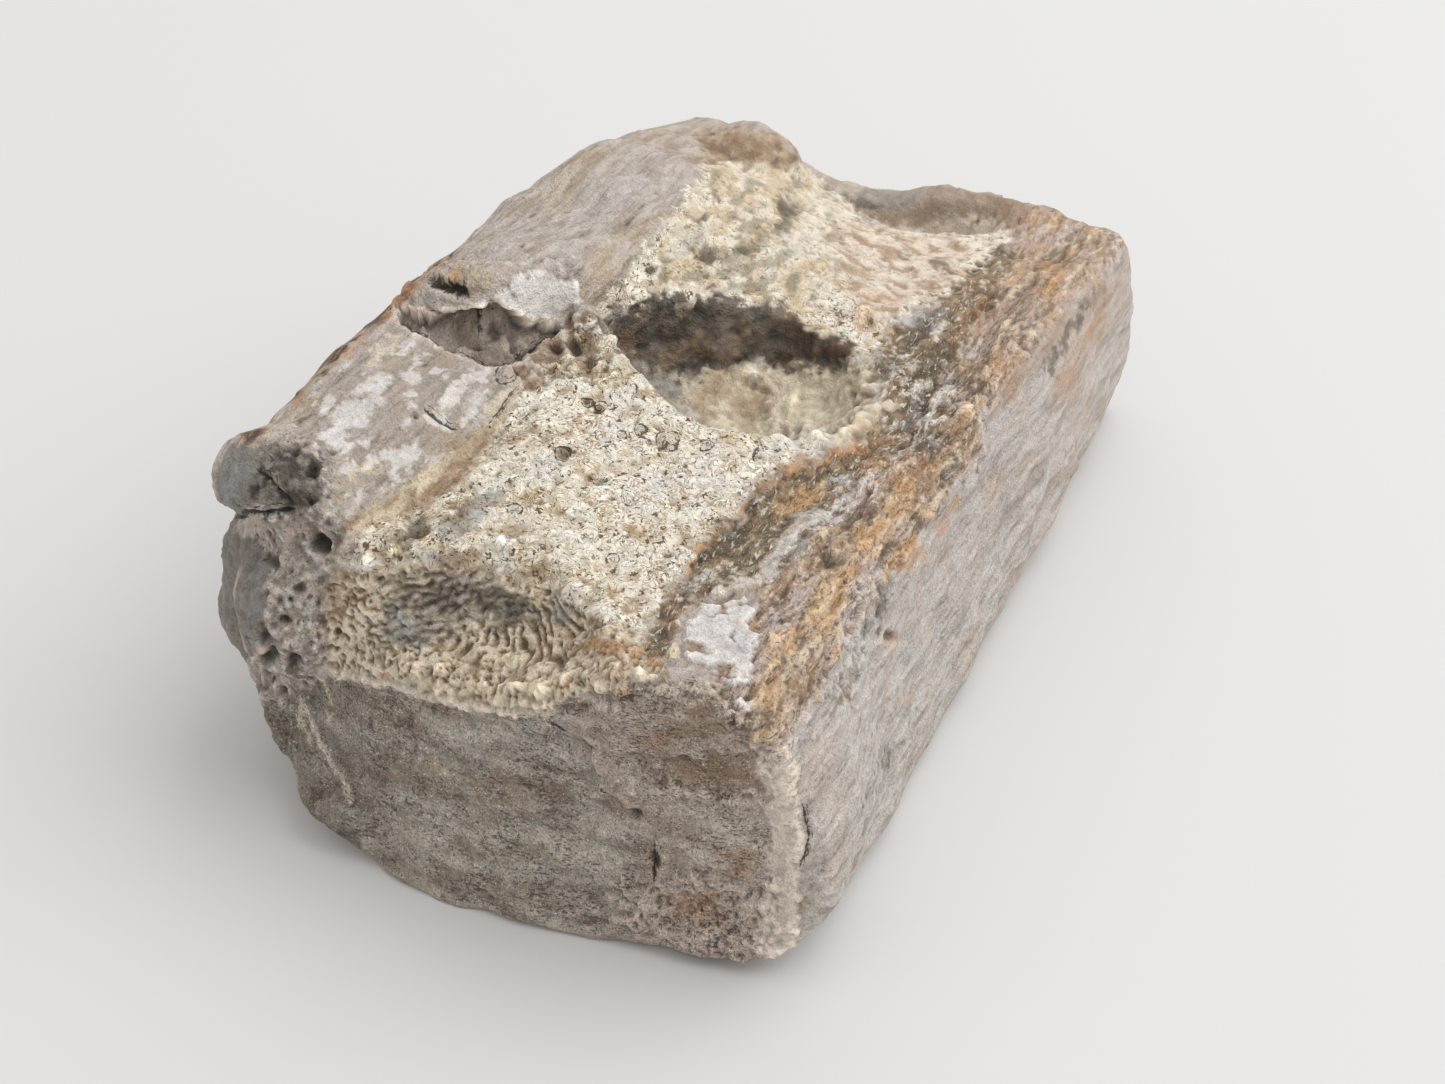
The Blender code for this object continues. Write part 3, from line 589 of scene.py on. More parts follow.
class Skin:
    """The fine surface while it is shaped and coloured, with one value of everything for each vertex."""

    def __init__(self, mesh):
        self.mesh = mesh
        count = len(mesh.vertices)
        points = np.empty(count * 3)
        normals = np.empty(count * 3)
        mesh.vertices.foreach_get("co", points)
        mesh.vertices.foreach_get("normal", normals)
        self.points = points.reshape(-1, 3) / MM
        self.normals = normals.reshape(-1, 3)
        edges = np.empty(len(mesh.edges) * 2, np.int64)
        mesh.edges.foreach_get("vertices", edges)
        self.first, self.second = edges.reshape(-1, 2).T
        self.links = np.bincount(self.first, minlength=count) + np.bincount(self.second, minlength=count)
        self.seen = self.spread(self.in_view(), 3)
        self.pixels = pixels_of(self.points)
        self.bend = np.stack((self.lumps(2.2, 11, 3), self.lumps(2.2, 23, 3)), axis=1)
        fine_bend = np.stack((self.lumps(0.9, 31, 2), self.lumps(0.9, 43, 2)), axis=1)
        self.wavy = self.pixels + self.bend * 6 + fine_bend * 3
        self.grit = 0.7 * self.lumps(0.8, 51, 3) + 0.5 * self.lumps(1.1, 61, 2, ALONG)
        self.height = np.zeros(count)
        self.rise = np.zeros(count)
        self.colour = np.zeros((count, 3))
        self.marks = {}

    def in_view(self):
        """1 where nothing stands between the vertex and the camera."""
        away = np.array(CAMERA_PLACE) - self.points
        away /= np.linalg.norm(away, axis=1)[:, None]
        facing = (self.normals * away).sum(axis=1) > 0.05
        tree = BVHTree.FromPolygons(
            (self.points).tolist(), [tuple(face.vertices) for face in self.mesh.polygons]
        )
        starts = self.points + self.normals * 0.3 + away * 0.6
        seen = np.zeros(len(self.points))
        for index in np.flatnonzero(facing):
            seen[index] = tree.ray_cast(Vector(starts[index]), Vector(away[index]))[0] is None
        return seen

    def spread(self, values, passes):
        """Values evened out over the mesh's edges."""
        count = len(values)
        for _ in range(passes):
            total = np.bincount(self.first, values[self.second], count)
            total += np.bincount(self.second, values[self.first], count)
            values = 0.5 * values + 0.5 * total / np.maximum(self.links, 1)
        return values

    def lumps(self, size, seed, octaves=3, stretch=(1.0, 1.0, 1.0)):
        return waves(self.points / stretch, size, seed, octaves)

    def region(self, name, fray=0.35):
        softness, outline = REGIONS[name]
        share = inside_outline(self.wavy, outline, softness)
        ragged = share + fray * self.grit * np.minimum(1, 4 * share * (1 - share) + 0.1)
        return smooth_step(ragged, 0.3, 0.7) * self.seen

    def spot_share(self, name, fray=0.55):
        share = spot_cover(self.wavy, STAINS_AND_PAINTED_LIGHT[name])
        return smooth_step(share + fray * self.grit * np.minimum(1, 3 * share), 0.25, 0.85) * self.seen

    def coat(self, share, name, strength=1.0):
        """Lays a palette colour over the skin."""
        self.colour += (share * strength)[:, None] * (linear_colour(name) - self.colour)

    def lift(self, share, amount):
        self.height += share * amount

    def mark(self, name, share):
        """Adds to a share that the material's fine patterns read."""
        self.marks[name] = np.maximum(self.marks.get(name, 0.0), share)

    def unmark(self, share, *names):
        for name in names:
            self.marks[name] = self.marks[name] * (1 - share)


def dress_outer_wall(skin):
    """Worn outer bone: grey to mauve, in worn plates with lengthways fibres, browner along its outer edge, with
    painted highlights on its glossy plates.
    """
    everywhere = np.ones(len(skin.points))
    fibre = skin.lumps(1.2, 2, 3, ALONG)
    fine_fibre = skin.lumps(0.55, 3, 2, ALONG)
    plates = skin.lumps(1.7, 59, 4, (1.0, 2.2, 1.0))
    skin.lift(everywhere, 0.12 * skin.lumps(3.0, 1, 2) + 0.06 * fibre + 0.03 * fine_fibre)
    skin.lift(everywhere, 0.10 * smooth_step(plates, 0.0, 0.12))
    skin.coat(everywhere, "mauve_grey")
    skin.coat(smooth_step(skin.lumps(5.0, 4, 3), -0.1, 0.5), "warm_grey", 0.6)
    skin.coat(smooth_step(skin.lumps(3.0, 5, 3, ALONG), 0.1, 0.6), "bone_tan", 0.35)
    skin.coat(smooth_step(fibre, 0.1, 0.6), "pale_mauve", 0.55)
    skin.coat(smooth_step(plates, 0.02, 0.16), "pale_mauve", 0.5)
    skin.coat(smooth_step(-fibre, 0.3, 0.7), "fibre_brown", 0.35)
    skin.coat(smooth_step(-fine_fibre, 0.3, 0.7), "fibre_brown", 0.25)
    near = skin.region("near_band", 0.5)
    worn = plates + 0.3 * fine_fibre
    shine = near * smooth_step(worn, 0.32, 0.46)
    skin.coat(near, "band_mauve", 0.3)
    skin.coat(near * smooth_step(fine_fibre + fibre, 0.2, 0.6), "fibre_brown", 0.3)
    # Painted highlight: near white on the glossy worn plates of the near band, which are also made less rough.
    skin.coat(shine, "highlight_white", 0.65)
    skin.coat(near * smooth_step(abs(worn - 0.31), 0.05, 0.0), "fibre_brown", 0.4)
    strip = np.clip(1.35 - line_distance(skin.wavy, OUTER_EDGE) / 12, 0, 1) * skin.seen
    strip *= smooth_step(skin.pixels[:, 0], 500, 400)
    skin.coat(smooth_step(strip + 0.5 * fine_fibre, 0.3, 0.7), "orange", 0.5)
    skin.coat(smooth_step(strip + 0.6 * fibre, 0.5, 0.9), "edge_brown", 0.8)
    skin.coat(smooth_step(strip + 0.9 * skin.lumps(0.6, 6, 3, ALONG), 0.8, 1.1), "near_black", 0.85)
    skin.mark("fibre", everywhere * 0.6)
    skin.mark("speck", everywhere * 0.5)
    skin.mark("gloss", everywhere * 0.5)
    skin.mark("gloss", shine)
    skin.unmark(shine * 0.6, "fibre", "speck")
    crease = skin.region("crease", 0.6)
    skin.coat(crease, "bone_tan", 0.55)
    skin.coat(crease * smooth_step(fine_fibre + fibre, 0.1, 0.6), "cream", 0.5)
    skin.coat(crease * smooth_step(-fibre, 0.0, 0.4), "brown", 0.6)
    skin.coat(crease * smooth_step(-fine_fibre, 0.25, 0.5), "pore_brown", 0.5)


def dress_inner_wall(skin):
    """Light grey side that faces +X, finely streaked along the jaw, with a rough patch near its upper edge."""
    right = smooth_step(skin.normals[:, 0], 0.30, 0.70) * smooth_step(skin.points[:, 0], 12, 20)
    fibre = skin.lumps(1.5, 7, 3, (1.0, 6.0, 1.2))
    fine_fibre = skin.lumps(0.6, 8, 2, (1.0, 6.0, 1.2))
    skin.lift(right, 0.04 * fibre + 0.03 * fine_fibre + 0.08 * skin.lumps(4.5, 9, 2, (1, 2, 1)))
    skin.coat(right, "wall_grey")
    skin.coat(right * smooth_step(skin.lumps(6.0, 12, 3), 0.0, 0.5), "wall_pink", 0.5)
    skin.coat(right * smooth_step(fibre, 0.0, 0.5), "wall_pale", 0.4)
    skin.coat(right * smooth_step(-fibre, 0.2, 0.7), "wall_shadow", 0.35)
    skin.coat(right * smooth_step(-fine_fibre, 0.25, 0.7), "wall_shadow", 0.3)
    upper = smooth_step(skin.points[:, 2], 12, 18) * smooth_step(skin.lumps(2.6, 13, 3, ALONG), -0.1, 0.5)
    far = smooth_step(skin.points[:, 1], -10, 25)
    skin.coat(right * upper * (0.4 + 0.6 * far), "edge_mauve", 0.6)
    skin.coat(right * far * smooth_step(skin.lumps(3.5, 60, 3, ALONG), 0.1, 0.6), "rust", 0.35)
    rough = skin.region("rough_patch", 0.7) * right
    skin.lift(rough, 0.35 * skin.lumps(1.0, 14, 3) - 0.15)
    skin.coat(rough * smooth_step(skin.lumps(0.9, 15, 3, (1, 2, 1)), 0.0, 0.4), "dark", 0.6)
    skin.mark("fibre", right * 0.7)
    skin.unmark(right, "gloss", "speck")
    skin.mark("gloss", right * 0.25)


def dress_open_bone(skin):
    """Cream spongy bone between the tooth sockets, pitted and nodular."""
    top = smooth_step(skin.normals[:, 2], 0.1, 0.6) * (1 - skin.seen)
    middle = smooth_step(skin.points[:, 0], -14, -8) * (1 - smooth_step(skin.points[:, 0], 8, 14))
    bone = np.maximum(skin.region("open_bone", 0.5), top * middle)
    warped = skin.points + 0.3 * skin.lumps(0.9, 17, 2)[:, None]
    nearest, own = cells(warped, 1.1, 5)
    pits = np.clip(0.38 - nearest, 0, 1) * (own > 0.78)
    swell = skin.lumps(1.8, 16, 3)
    tangle = abs(skin.lumps(1.2, 61, 2))
    left = smooth_step(680 - skin.pixels[:, 0], 0, 220) * smooth_step(skin.pixels[:, 1], 430, 560)
    left = np.maximum(left, smooth_step(skin.lumps(3.0, 75, 2), 0.25, 0.5)) * bone
    skin.lift(bone, 0.18 * swell + 0.06 * smooth_step(tangle, 0.0, 0.2) - 0.7 * pits)
    skin.coat(bone, "bone_white")
    skin.coat(bone * smooth_step(skin.lumps(3.2, 18, 3), 0.0, 0.5), "bone_cream", 0.8)
    skin.coat(left * smooth_step(skin.lumps(1.6, 19, 3), -0.1, 0.4), "bone_tan", 0.5)
    skin.coat(left * smooth_step(tangle, 0.10, 0.03), "pore_brown", 0.5)
    skin.coat(bone * smooth_step(skin.lumps(4.0, 20, 2), 0.15, 0.6), "bone_pink", 0.4)
    skin.coat(bone * smooth_step(-swell, 0.3, 0.7), "stroke_ochre", 0.5)
    skin.coat(bone * smooth_step(swell, 0.3, 0.7), "white", 0.5)
    skin.coat(bone * smooth_step(pits, 0.08, 0.20), "pore_brown", 0.9)
    skin.unmark(bone, "fibre", "speck", "gloss")
    skin.mark("pores", bone)
    skin.mark("gloss", bone * 0.5)


def dress_far_part(skin):
    """The far half of the open bone: cream with grey-green lumps, streaked tan, and the olive knob."""
    cream = skin.region("far_cream")
    skin.coat(cream, "bone_cream", 0.6)
    skin.coat(cream * smooth_step(skin.lumps(2.4, 76, 2, (1, 2, 1)), 0.0, 0.4), "bone_tan", 0.6)
    skin.coat(cream * smooth_step(skin.lumps(1.3, 21, 3, (1, 2, 1)), 0.05, 0.40), "scoop_green", 0.65)
    tan = skin.region("far_tan")
    skin.coat(tan, "bone_pink", 0.7)
    skin.coat(tan * smooth_step(skin.lumps(1.4, 22, 3, (2, 1, 1)), 0.0, 0.35), "edge_earth", 0.7)
    skin.unmark(np.maximum(cream, tan) * 0.4, "pores")
    x, y, z = skin.points.T
    lip = smooth_step(y, *FAR_LIP["y"]) * smooth_step(x, *FAR_LIP["left"])
    lip *= smooth_step(x, *FAR_LIP["right"]) * smooth_step(z, *FAR_LIP["z"])
    skin.rise += FAR_LIP_RISE * lip
    bowl = lip * smooth_step(skin.normals[:, 2], 0.2, 0.6) * (1 - skin.seen)
    skin.lift(bowl, 0.3 * skin.lumps(1.6, 85, 3))
    skin.coat(bowl * smooth_step(skin.lumps(1.6, 85, 3), -0.3, 0.3), "far_brown", 0.7)
    hollow = skin.region("far_hollow")
    skin.coat(hollow, "far_brown", 0.85)
    skin.coat(hollow * smooth_step(skin.lumps(1.8, 74, 3), 0.0, 0.4), "dark", 0.2)
    skin.coat(hollow * smooth_step(skin.pixels[:, 0], 940, 1020), "edge_earth", 0.5)
    skin.unmark(hollow, "pores")
    knob = skin.region("knob")
    skin.coat(knob, "edge_earth", 0.8)
    skin.coat(knob * smooth_step(skin.lumps(1.5, 62, 3), 0.0, 0.4), "cream", 0.35)
    skin.coat(knob * smooth_step(skin.lumps(1.5, 62, 3), -0.2, -0.5), "dark", 0.6)
    peak = skin.region("peak", 0.6)
    skin.lift(peak, 0.35 * skin.lumps(1.2, 24, 3))
    skin.coat(peak * smooth_step(skin.lumps(1.2, 24, 3), 0.3, -0.1), "brown", 0.7)
    skin.coat(peak * smooth_step(skin.lumps(1.2, 24, 3), 0.2, 0.5), "lump_green", 0.6)


def dress_scoop(skin):
    """Near tooth socket: a fan of cream ribs over brown, a grey-green back painted dark as shade, nodules along the
    front.
    """
    scoop = skin.region("scoop", 0.5)
    offset = skin.pixels + skin.bend * 6.0 - SCOOP_FAN
    turn = np.arctan2(offset[:, 1], offset[:, 0])
    reach = np.hypot(offset[:, 0], offset[:, 1])
    ribs = np.sin(turn * SCOOP_RIB_TURNS + 2.5 * skin.lumps(2.0, 25, 2)) + 0.5 * skin.lumps(0.8, 63, 2)
    ribbed = smooth_step(reach, 44, 60) * (1 - smooth_step(reach, 104, 128)) * scoop
    ribbed *= smooth_step(skin.lumps(2.2, 77, 2), -0.35, 0.1)
    worms = abs(skin.lumps(0.9, 64, 2))
    tangled = scoop * (1 - ribbed)
    skin.lift(tangled, 0.26 * smooth_step(worms, 0.0, 0.28))
    skin.lift(scoop, 0.25 * skin.lumps(2.4, 15, 3) - 0.1)
    skin.lift(ribbed, 0.16 * ribs)
    skin.coat(scoop, "scoop_mid")
    skin.coat(scoop * smooth_step(skin.lumps(1.8, 78, 3), 0.1, 0.5), "rust", 0.45)
    skin.coat(tangled * smooth_step(worms, 0.14, 0.32), "scoop_cream", 0.85)
    skin.coat(tangled * smooth_step(worms, 0.12, 0.03), "scoop_gap", 0.85)
    skin.coat(ribbed * smooth_step(ribs, -0.1, 0.5), "scoop_cream", 0.85)
    skin.coat(ribbed * smooth_step(ribs, 0.0, -0.6), "scoop_gap", 0.85)

    shade = skin.region("scoop_shade", 0.6)
    ripples = np.sin(skin.pixels @ SCOOP_RIPPLES + 3.0 * skin.lumps(2.0, 72, 2))
    skin.coat(shade, "scoop_green", 0.6)
    skin.lift(shade, 0.09 * ripples)
    # Painted highlights: pale glints on the ripple crests; the dark streaks deepen the painted shade.
    skin.coat(shade * smooth_step(ripples + skin.lumps(0.9, 26, 3), 0.4, 1.0), "pale_blue", 0.4)
    skin.coat(shade * smooth_step(-ripples + 1.5 * skin.lumps(0.9, 27, 3), 0.2, 0.9), "dark", 0.5)

    nearest, own = cells(skin.points + 0.4 * skin.lumps(1.2, 79, 2)[:, None], 1.1, 17)
    front = smooth_step(skin.pixels[:, 1], 655, 680) * scoop
    beads = front * smooth_step(nearest, 0.26 + 0.28 * own, 0.08 + 0.28 * own) * (own > 0.35)
    skin.lift(beads, 0.24)
    skin.coat(beads, "nodule", 0.85)
    skin.coat(front * smooth_step(skin.lumps(1.3, 83, 2), 0.1, 0.5), "rust", 0.4)
    skin.unmark(scoop, "fibre", "speck")
    skin.unmark(scoop * 0.7, "pores")
    skin.mark("gloss", scoop * 0.5)


def dress_socket(skin):
    """Middle tooth socket: tan floor with fine radial lines, greyed towards its left as painted shadow, and a far
    wall painted dark as the shade under its rim.
    """
    across = (skin.points[:, 0] - SOCKET_MIDDLE[0]) / SOCKET_REACH[0]
    along = (skin.points[:, 1] - SOCKET_MIDDLE[1]) / SOCKET_REACH[1]
    inside = smooth_step(np.hypot(across, along), 1.1, 1.0)
    low = smooth_step(skin.points[:, 2], 26.0, 24.6) * smooth_step(skin.points[:, 2], 15, 17)
    floor = inside * low
    turn = np.arctan2(skin.points[:, 1] - SOCKET_FAN[1], skin.points[:, 0] - SOCKET_FAN[0])
    lines = np.sin(turn * 80 + 2 * skin.lumps(3.0, 28, 1)) * smooth_step(skin.points[:, 0], 2, 9)
    lumps = skin.lumps(2.2, 30, 3)
    skin.lift(floor, 0.03 * lines + 0.16 * lumps)
    skin.coat(floor, "socket_floor")
    skin.coat(floor * smooth_step(lumps, 0.1, 0.5), "bone_cream", 0.6)
    skin.coat(floor * smooth_step(-lumps, 0.1, 0.5), "edge_earth", 0.4)
    skin.coat(floor * smooth_step(skin.lumps(1.6, 32, 3), 0.25, 0.6), "lump_green", 0.4)
    skin.coat(floor * smooth_step(lines, 0.3, 0.9), "scoop_gap", 0.3)
    # Painted shadow: the socket floor greys towards its left.
    skin.coat(floor * smooth_step(skin.pixels[:, 0], 720, 650), "socket_floor_shadow", 0.6)
    slope = skin.region("socket_slope", 0.1) * inside
    skin.lift(slope, 0.9)
    skin.coat(slope, "bone_cream", 0.5)
    skin.unmark(floor * 0.8, "pores")
    skin.mark("soft", floor * 0.8)
    within = smooth_step(np.hypot(across, along), 1.25, 1.1)
    hidden_wall = within * smooth_step(skin.points[:, 2], 32.0, 30.0) * (1 - skin.seen)
    hidden_wall *= smooth_step(skin.points[:, 2], 15, 17)
    # Painted shade: the far wall under the rim, and the floor and walls hidden from view, painted dark, with earthy
    # and reddish tones and darker hollows over it.
    dark = np.maximum(skin.region("socket_wall_shade", 0.7), np.maximum(floor * (1 - skin.seen), hidden_wall))
    walls = skin.lumps(2.0, 33, 4)
    skin.coat(dark, "socket_wall_shade", 0.95)
    skin.coat(skin.region("socket_red", 0.7) * dark, "socket_red", 0.9)
    skin.coat(dark * smooth_step(walls, 0.1, 0.6), "edge_earth", 0.3)
    skin.coat(dark * smooth_step(skin.lumps(2.6, 65, 3), 0.1, 0.5), "glaze", 0.5)
    skin.coat(dark * smooth_step(-walls, 0.0, 0.5), "near_black", 0.6)
    skin.lift(dark, 0.22 * walls)
    skin.unmark(dark, "pores")


def dress_inner_edge(skin):
    """Brown, gold and mauve shreds along the inner edge, and the dark speckled groove beside them."""
    edge = skin.region("inner_edge", 0.6)
    knots = skin.lumps(1.5, 35, 4, (1, 2.6, 1))
    shreds = skin.lumps(0.7, 36, 3, (1, 4.0, 1))
    skin.lift(edge, 0.26 * knots + 0.12 * shreds + 0.30 * skin.lumps(4.2, 37, 2))
    skin.coat(edge, "edge_mauve")
    skin.coat(edge * smooth_step(skin.lumps(2.6, 38, 3, (1, 2, 1)), -0.2, 0.35), "edge_earth", 0.65)
    skin.coat(edge * smooth_step(skin.lumps(1.6, 66, 3, (1, 3, 1)), 0.1, 0.5), "edge_gold", 0.5)
    skin.coat(edge * smooth_step(skin.lumps(2.0, 39, 3, ALONG), 0.15, 0.6), "lilac", 0.6)
    skin.coat(edge * smooth_step(-knots, 0.15, 0.5), "groove_dark", 0.6)
    skin.coat(edge * smooth_step(shreds, 0.2, 0.6), "cream", 0.5)
    groove = skin.region("groove", 0.7)
    nearest, own = cells(skin.points, 0.8, 23)
    skin.lift(groove, 0.26 * knots + 0.28 * (0.45 - nearest))
    skin.coat(groove, "groove_green")
    skin.coat(groove * smooth_step(skin.lumps(2.2, 40, 3, ALONG), 0.0, 0.4), "edge_earth", 0.8)
    skin.coat(groove * smooth_step(nearest, 0.5, 0.75), "groove_dark", 0.65)
    skin.coat(groove * smooth_step(-shreds, 0.2, 0.5), "groove_dark", 0.5)
    skin.coat(groove * smooth_step(nearest, 0.4, 0.25) * (own > 0.8), "white", 0.6)
    flecks = skin.region("flecks", 0.7)
    skin.coat(flecks * smooth_step(shreds, 0.05, 0.4), "white", 0.7)
    skin.coat(flecks * smooth_step(-shreds, 0.25, 0.6), "groove_dark", 0.6)
    seam = np.clip(1.5 - line_distance(skin.wavy, OCHRE_SEAM) / 3.6, 0, 1) * skin.seen
    seam *= smooth_step(skin.lumps(1.5, 82, 2), -0.6, 0.0)
    skin.lift(seam, 0.15)
    skin.coat(seam, "orange", 0.85)
    both = np.maximum(edge, groove)
    skin.unmark(both, "fibre", "pores", "gloss")
    skin.mark("shreds", both)
    skin.mark("flecks", np.maximum(groove * 0.5, flecks))
    skin.mark("speck", both * 0.8)
    skin.mark("fibre", edge * 0.5)
    skin.mark("gloss", both * 0.5)


def dress_filling(skin):
    """Fine sandstone inside the jaw, grey-green to mauve, on the near face and the hidden ends."""
    lowest, furthest = skin.points[:, 2].min(), skin.points[:, 1].max()
    hidden = 1 - skin.seen
    far_face = smooth_step(skin.normals[:, 1], 0.45, 0.8) * hidden
    far_face *= smooth_step(skin.points[:, 1], furthest - 14, furthest - 8)
    underside = smooth_step(-skin.normals[:, 2], 0.5, 0.85) * hidden
    underside *= smooth_step(skin.points[:, 2], lowest + 4, lowest + 1)
    stone = np.maximum(skin.region("filling", 0.25), np.maximum(far_face, underside))
    beds = skin.lumps(2.2, 41, 4, BEDS)
    dashes = skin.lumps(0.9, 42, 3, BEDS)
    patches = skin.lumps(4.0, 46, 3, BEDS)
    mottle = skin.lumps(1.4, 73, 3, BEDS)
    skin.lift(stone, 0.10 * beds + 0.05 * skin.lumps(0.7, 44, 2) - 0.06 * smooth_step(dashes, 0.4, 0.8))
    skin.lift(stone, 0.25 * skin.lumps(6.0, 67, 2))
    skin.coat(stone, "stone_mauve")
    green = np.maximum(skin.region("stone_green", 0.8), hidden)
    skin.coat(stone * green, "stone_green", 0.9)
    skin.coat(stone * smooth_step(patches, 0.0, 0.4), "stone_brown", 0.5)
    skin.coat(stone * smooth_step(-patches, 0.2, 0.6), "stone_pale", 0.35)
    skin.coat(stone * smooth_step(mottle, 0.1, 0.5), "dark", 0.28)
    skin.coat(stone * smooth_step(-mottle, 0.1, 0.5), "stone_pale", 0.35)
    skin.coat(stone * smooth_step(-beds, 0.2, 0.6), "brown", 0.2)
    skin.coat(stone * smooth_step(dashes, 0.35, 0.65) * smooth_step(patches, -0.2, 0.3), "near_black", 0.35)
    # Painted shade: the seen near face darkens towards its left.
    skin.coat(stone * smooth_step(skin.pixels[:, 0], 460, 260) * skin.seen, "dark", 0.52)
    skin.lift(skin.region("stone_step", 0.25), 0.35)
    bed = skin.region("brown_bed", 0.6)
    skin.coat(bed, "brown", 0.35)
    skin.lift(bed, -0.3)
    rough = skin.region("rough_stone", 0.6)
    folds = abs(skin.lumps(1.5, 80, 3))
    skin.lift(rough, 0.3 * smooth_step(folds, 0.0, 0.3))
    skin.coat(rough, "torn_mauve", 0.55)
    skin.coat(rough * smooth_step(folds, 0.10, 0.02), "dark", 0.55)
    skin.unmark(stone, "fibre", "pores", "speck", "flecks", "gloss")
    skin.mark("stone", stone)
    rim = skin.region("corner_rim", 0.3)
    skin.coat(rim, "rim_cream", 0.92)
    skin.coat(rim * smooth_step(skin.lumps(1.3, 47, 3, (1, 1, 2)), 0.1, 0.5), "torn_mauve", 0.5)
    skin.unmark(rim, "stone")


def dress_broken_ends(skin):
    """Torn end of the outer wall, grey lumps with pitted sides."""
    torn = skin.region("broken", 0.6)
    lumps = skin.lumps(1.6, 48, 4)
    nearest, own = cells(skin.points / (1.0, 1.0, 1.5), 0.8, 29)
    holes = np.clip(0.42 - nearest, 0, 1) * (own > 0.45)
    skin.lift(torn, 0.30 * lumps - 0.8 * holes)
    skin.coat(torn, "torn_grey")
    skin.coat(torn * smooth_step(lumps, -0.1, 0.4), "torn_mauve", 0.8)
    skin.coat(torn * smooth_step(-lumps, 0.2, 0.6), "dark", 0.25)
    skin.coat(torn * smooth_step(skin.lumps(0.6, 49, 2), 0.0, 0.3), "wall_pale", 0.75)
    skin.coat(torn * smooth_step(skin.lumps(1.3, 81, 3), 0.2, 0.6), "fibre_brown", 0.5)
    skin.coat(torn * smooth_step(holes, 0.08, 0.2), "near_black", 0.75)
    smooth = skin.region("smooth_lumps", 0.3)
    skin.lift(smooth, 0.12 * skin.lumps(1.0, 86, 3))
    skin.coat(smooth, "glaze", 0.85)
    skin.coat(smooth * smooth_step(skin.lumps(1.6, 68, 3), 0.1, 0.5), "blue_grey", 0.4)
    dark = skin.region("dark_lump", 0.6)
    skin.coat(dark, "glaze", 0.8)
    skin.coat(dark * smooth_step(skin.lumps(0.9, 69, 3), -0.2, 0.2), "near_black", 0.8)
    skin.mark("speck", torn)
    skin.unmark(np.maximum(torn, smooth), "fibre", "gloss")
    skin.mark("gloss", smooth * 0.6)


def dress_flake(skin):
    """The layer that stands over the broken place in the band: a snapped grey face darkened with painted shade,
    under a glossy top with painted highlights.
    """
    skin.lift(skin.region("flake_layer", 0.1), 0.5)
    face = skin.region("flake_face", 0.1)
    facets = cells(skin.points, 1.9, 31)[1]
    skin.lift(face, 0.4 * facets + 0.12 * skin.lumps(0.9, 50, 3) - 1.2)
    skin.coat(face, "torn_grey", 0.97)
    skin.coat(face * facets, "torn_mauve", 0.6)
    # Painted shade: the snapped face, turned away from the light, is darkened in patches and most in its darkest
    # part.
    skin.coat(face * smooth_step(skin.lumps(1.1, 52, 3), 0.1, 0.5), "groove_dark", 0.4)
    skin.coat(skin.region("flake_face_shade", 0.2), "groove_dark", 0.5)
    top = skin.region("flake_top", 0.4) * (1 - face)
    skin.lift(top, 0.2)
    skin.coat(top, "pale_mauve", 0.9)
    # Painted highlight on the glossy top.
    skin.coat(top * smooth_step(skin.lumps(1.6, 84, 3), -0.6, -0.1), "highlight_white", 0.9)
    skin.mark("gloss", top)
    skin.mark("speck", face)
    skin.unmark(np.maximum(top, face), "fibre")
    skin.unmark(face, "gloss")


def add_stains_highlights_and_chips(skin):
    for name, strength in (
        ("blue_grey", 0.7), ("pale_blue", 0.7), ("lilac", 0.5), ("brown", 0.45), ("rust", 0.4),
        ("edge_gold", 0.55), ("orange", 0.45), ("cream", 0.65), ("white", 0.6), ("dark", 0.65),
    ):
        skin.coat(skin.spot_share(name, 0.9), name, strength)
    # Painted highlights: white patches where the glossy surface reflects the light, which are also made less rough.
    gloss = skin.spot_share("highlight_white", 0.4)
    skin.coat(smooth_step(gloss, 0.35, 0.6), "highlight_white", 0.7)
    skin.mark("gloss", gloss)
    skin.unmark(gloss * 0.8, "fibre", "speck")
    hidden = (1 - skin.seen) * smooth_step(abs(skin.normals[:, 2]), 0.7, 0.4)
    skin.coat(hidden * smooth_step(skin.lumps(5.0, 53, 4, ALONG), 0.35, 0.7), "orange", 0.3)
    skin.coat(hidden * smooth_step(skin.lumps(4.0, 54, 4), 0.3, 0.7), "brown", 0.35)
    # Painted highlights: patches of highlight white on the hidden sides.
    skin.coat(hidden * smooth_step(skin.lumps(3.0, 55, 4), 0.45, 0.7), "highlight_white", 0.5)

    nearest, own = cells(skin.points + 0.3 * skin.lumps(1.0, 56, 2)[:, None], 1.7, 71)
    whole = smooth_step(nearest, 0.80, 0.70) * (own > 0.10)
    for name in ("chip", "chip_ends"):
        chip = skin.region(name, 0.3)
        plate = chip * whole
        skin.lift(plate, 0.22 + 0.16 * own)
        skin.coat(plate, "chip_white", 0.95)
        skin.coat(plate * smooth_step(skin.lumps(1.3, 57, 3), 0.0, 0.4), "chip_blue", 0.6)
        skin.coat(plate * smooth_step(skin.lumps(1.0, 58, 3), 0.25, 0.6), "rust", 0.35)
        skin.coat(chip - plate, "edge_earth", 0.6)
        skin.unmark(plate, "flecks", "speck", "fibre", "shreds")


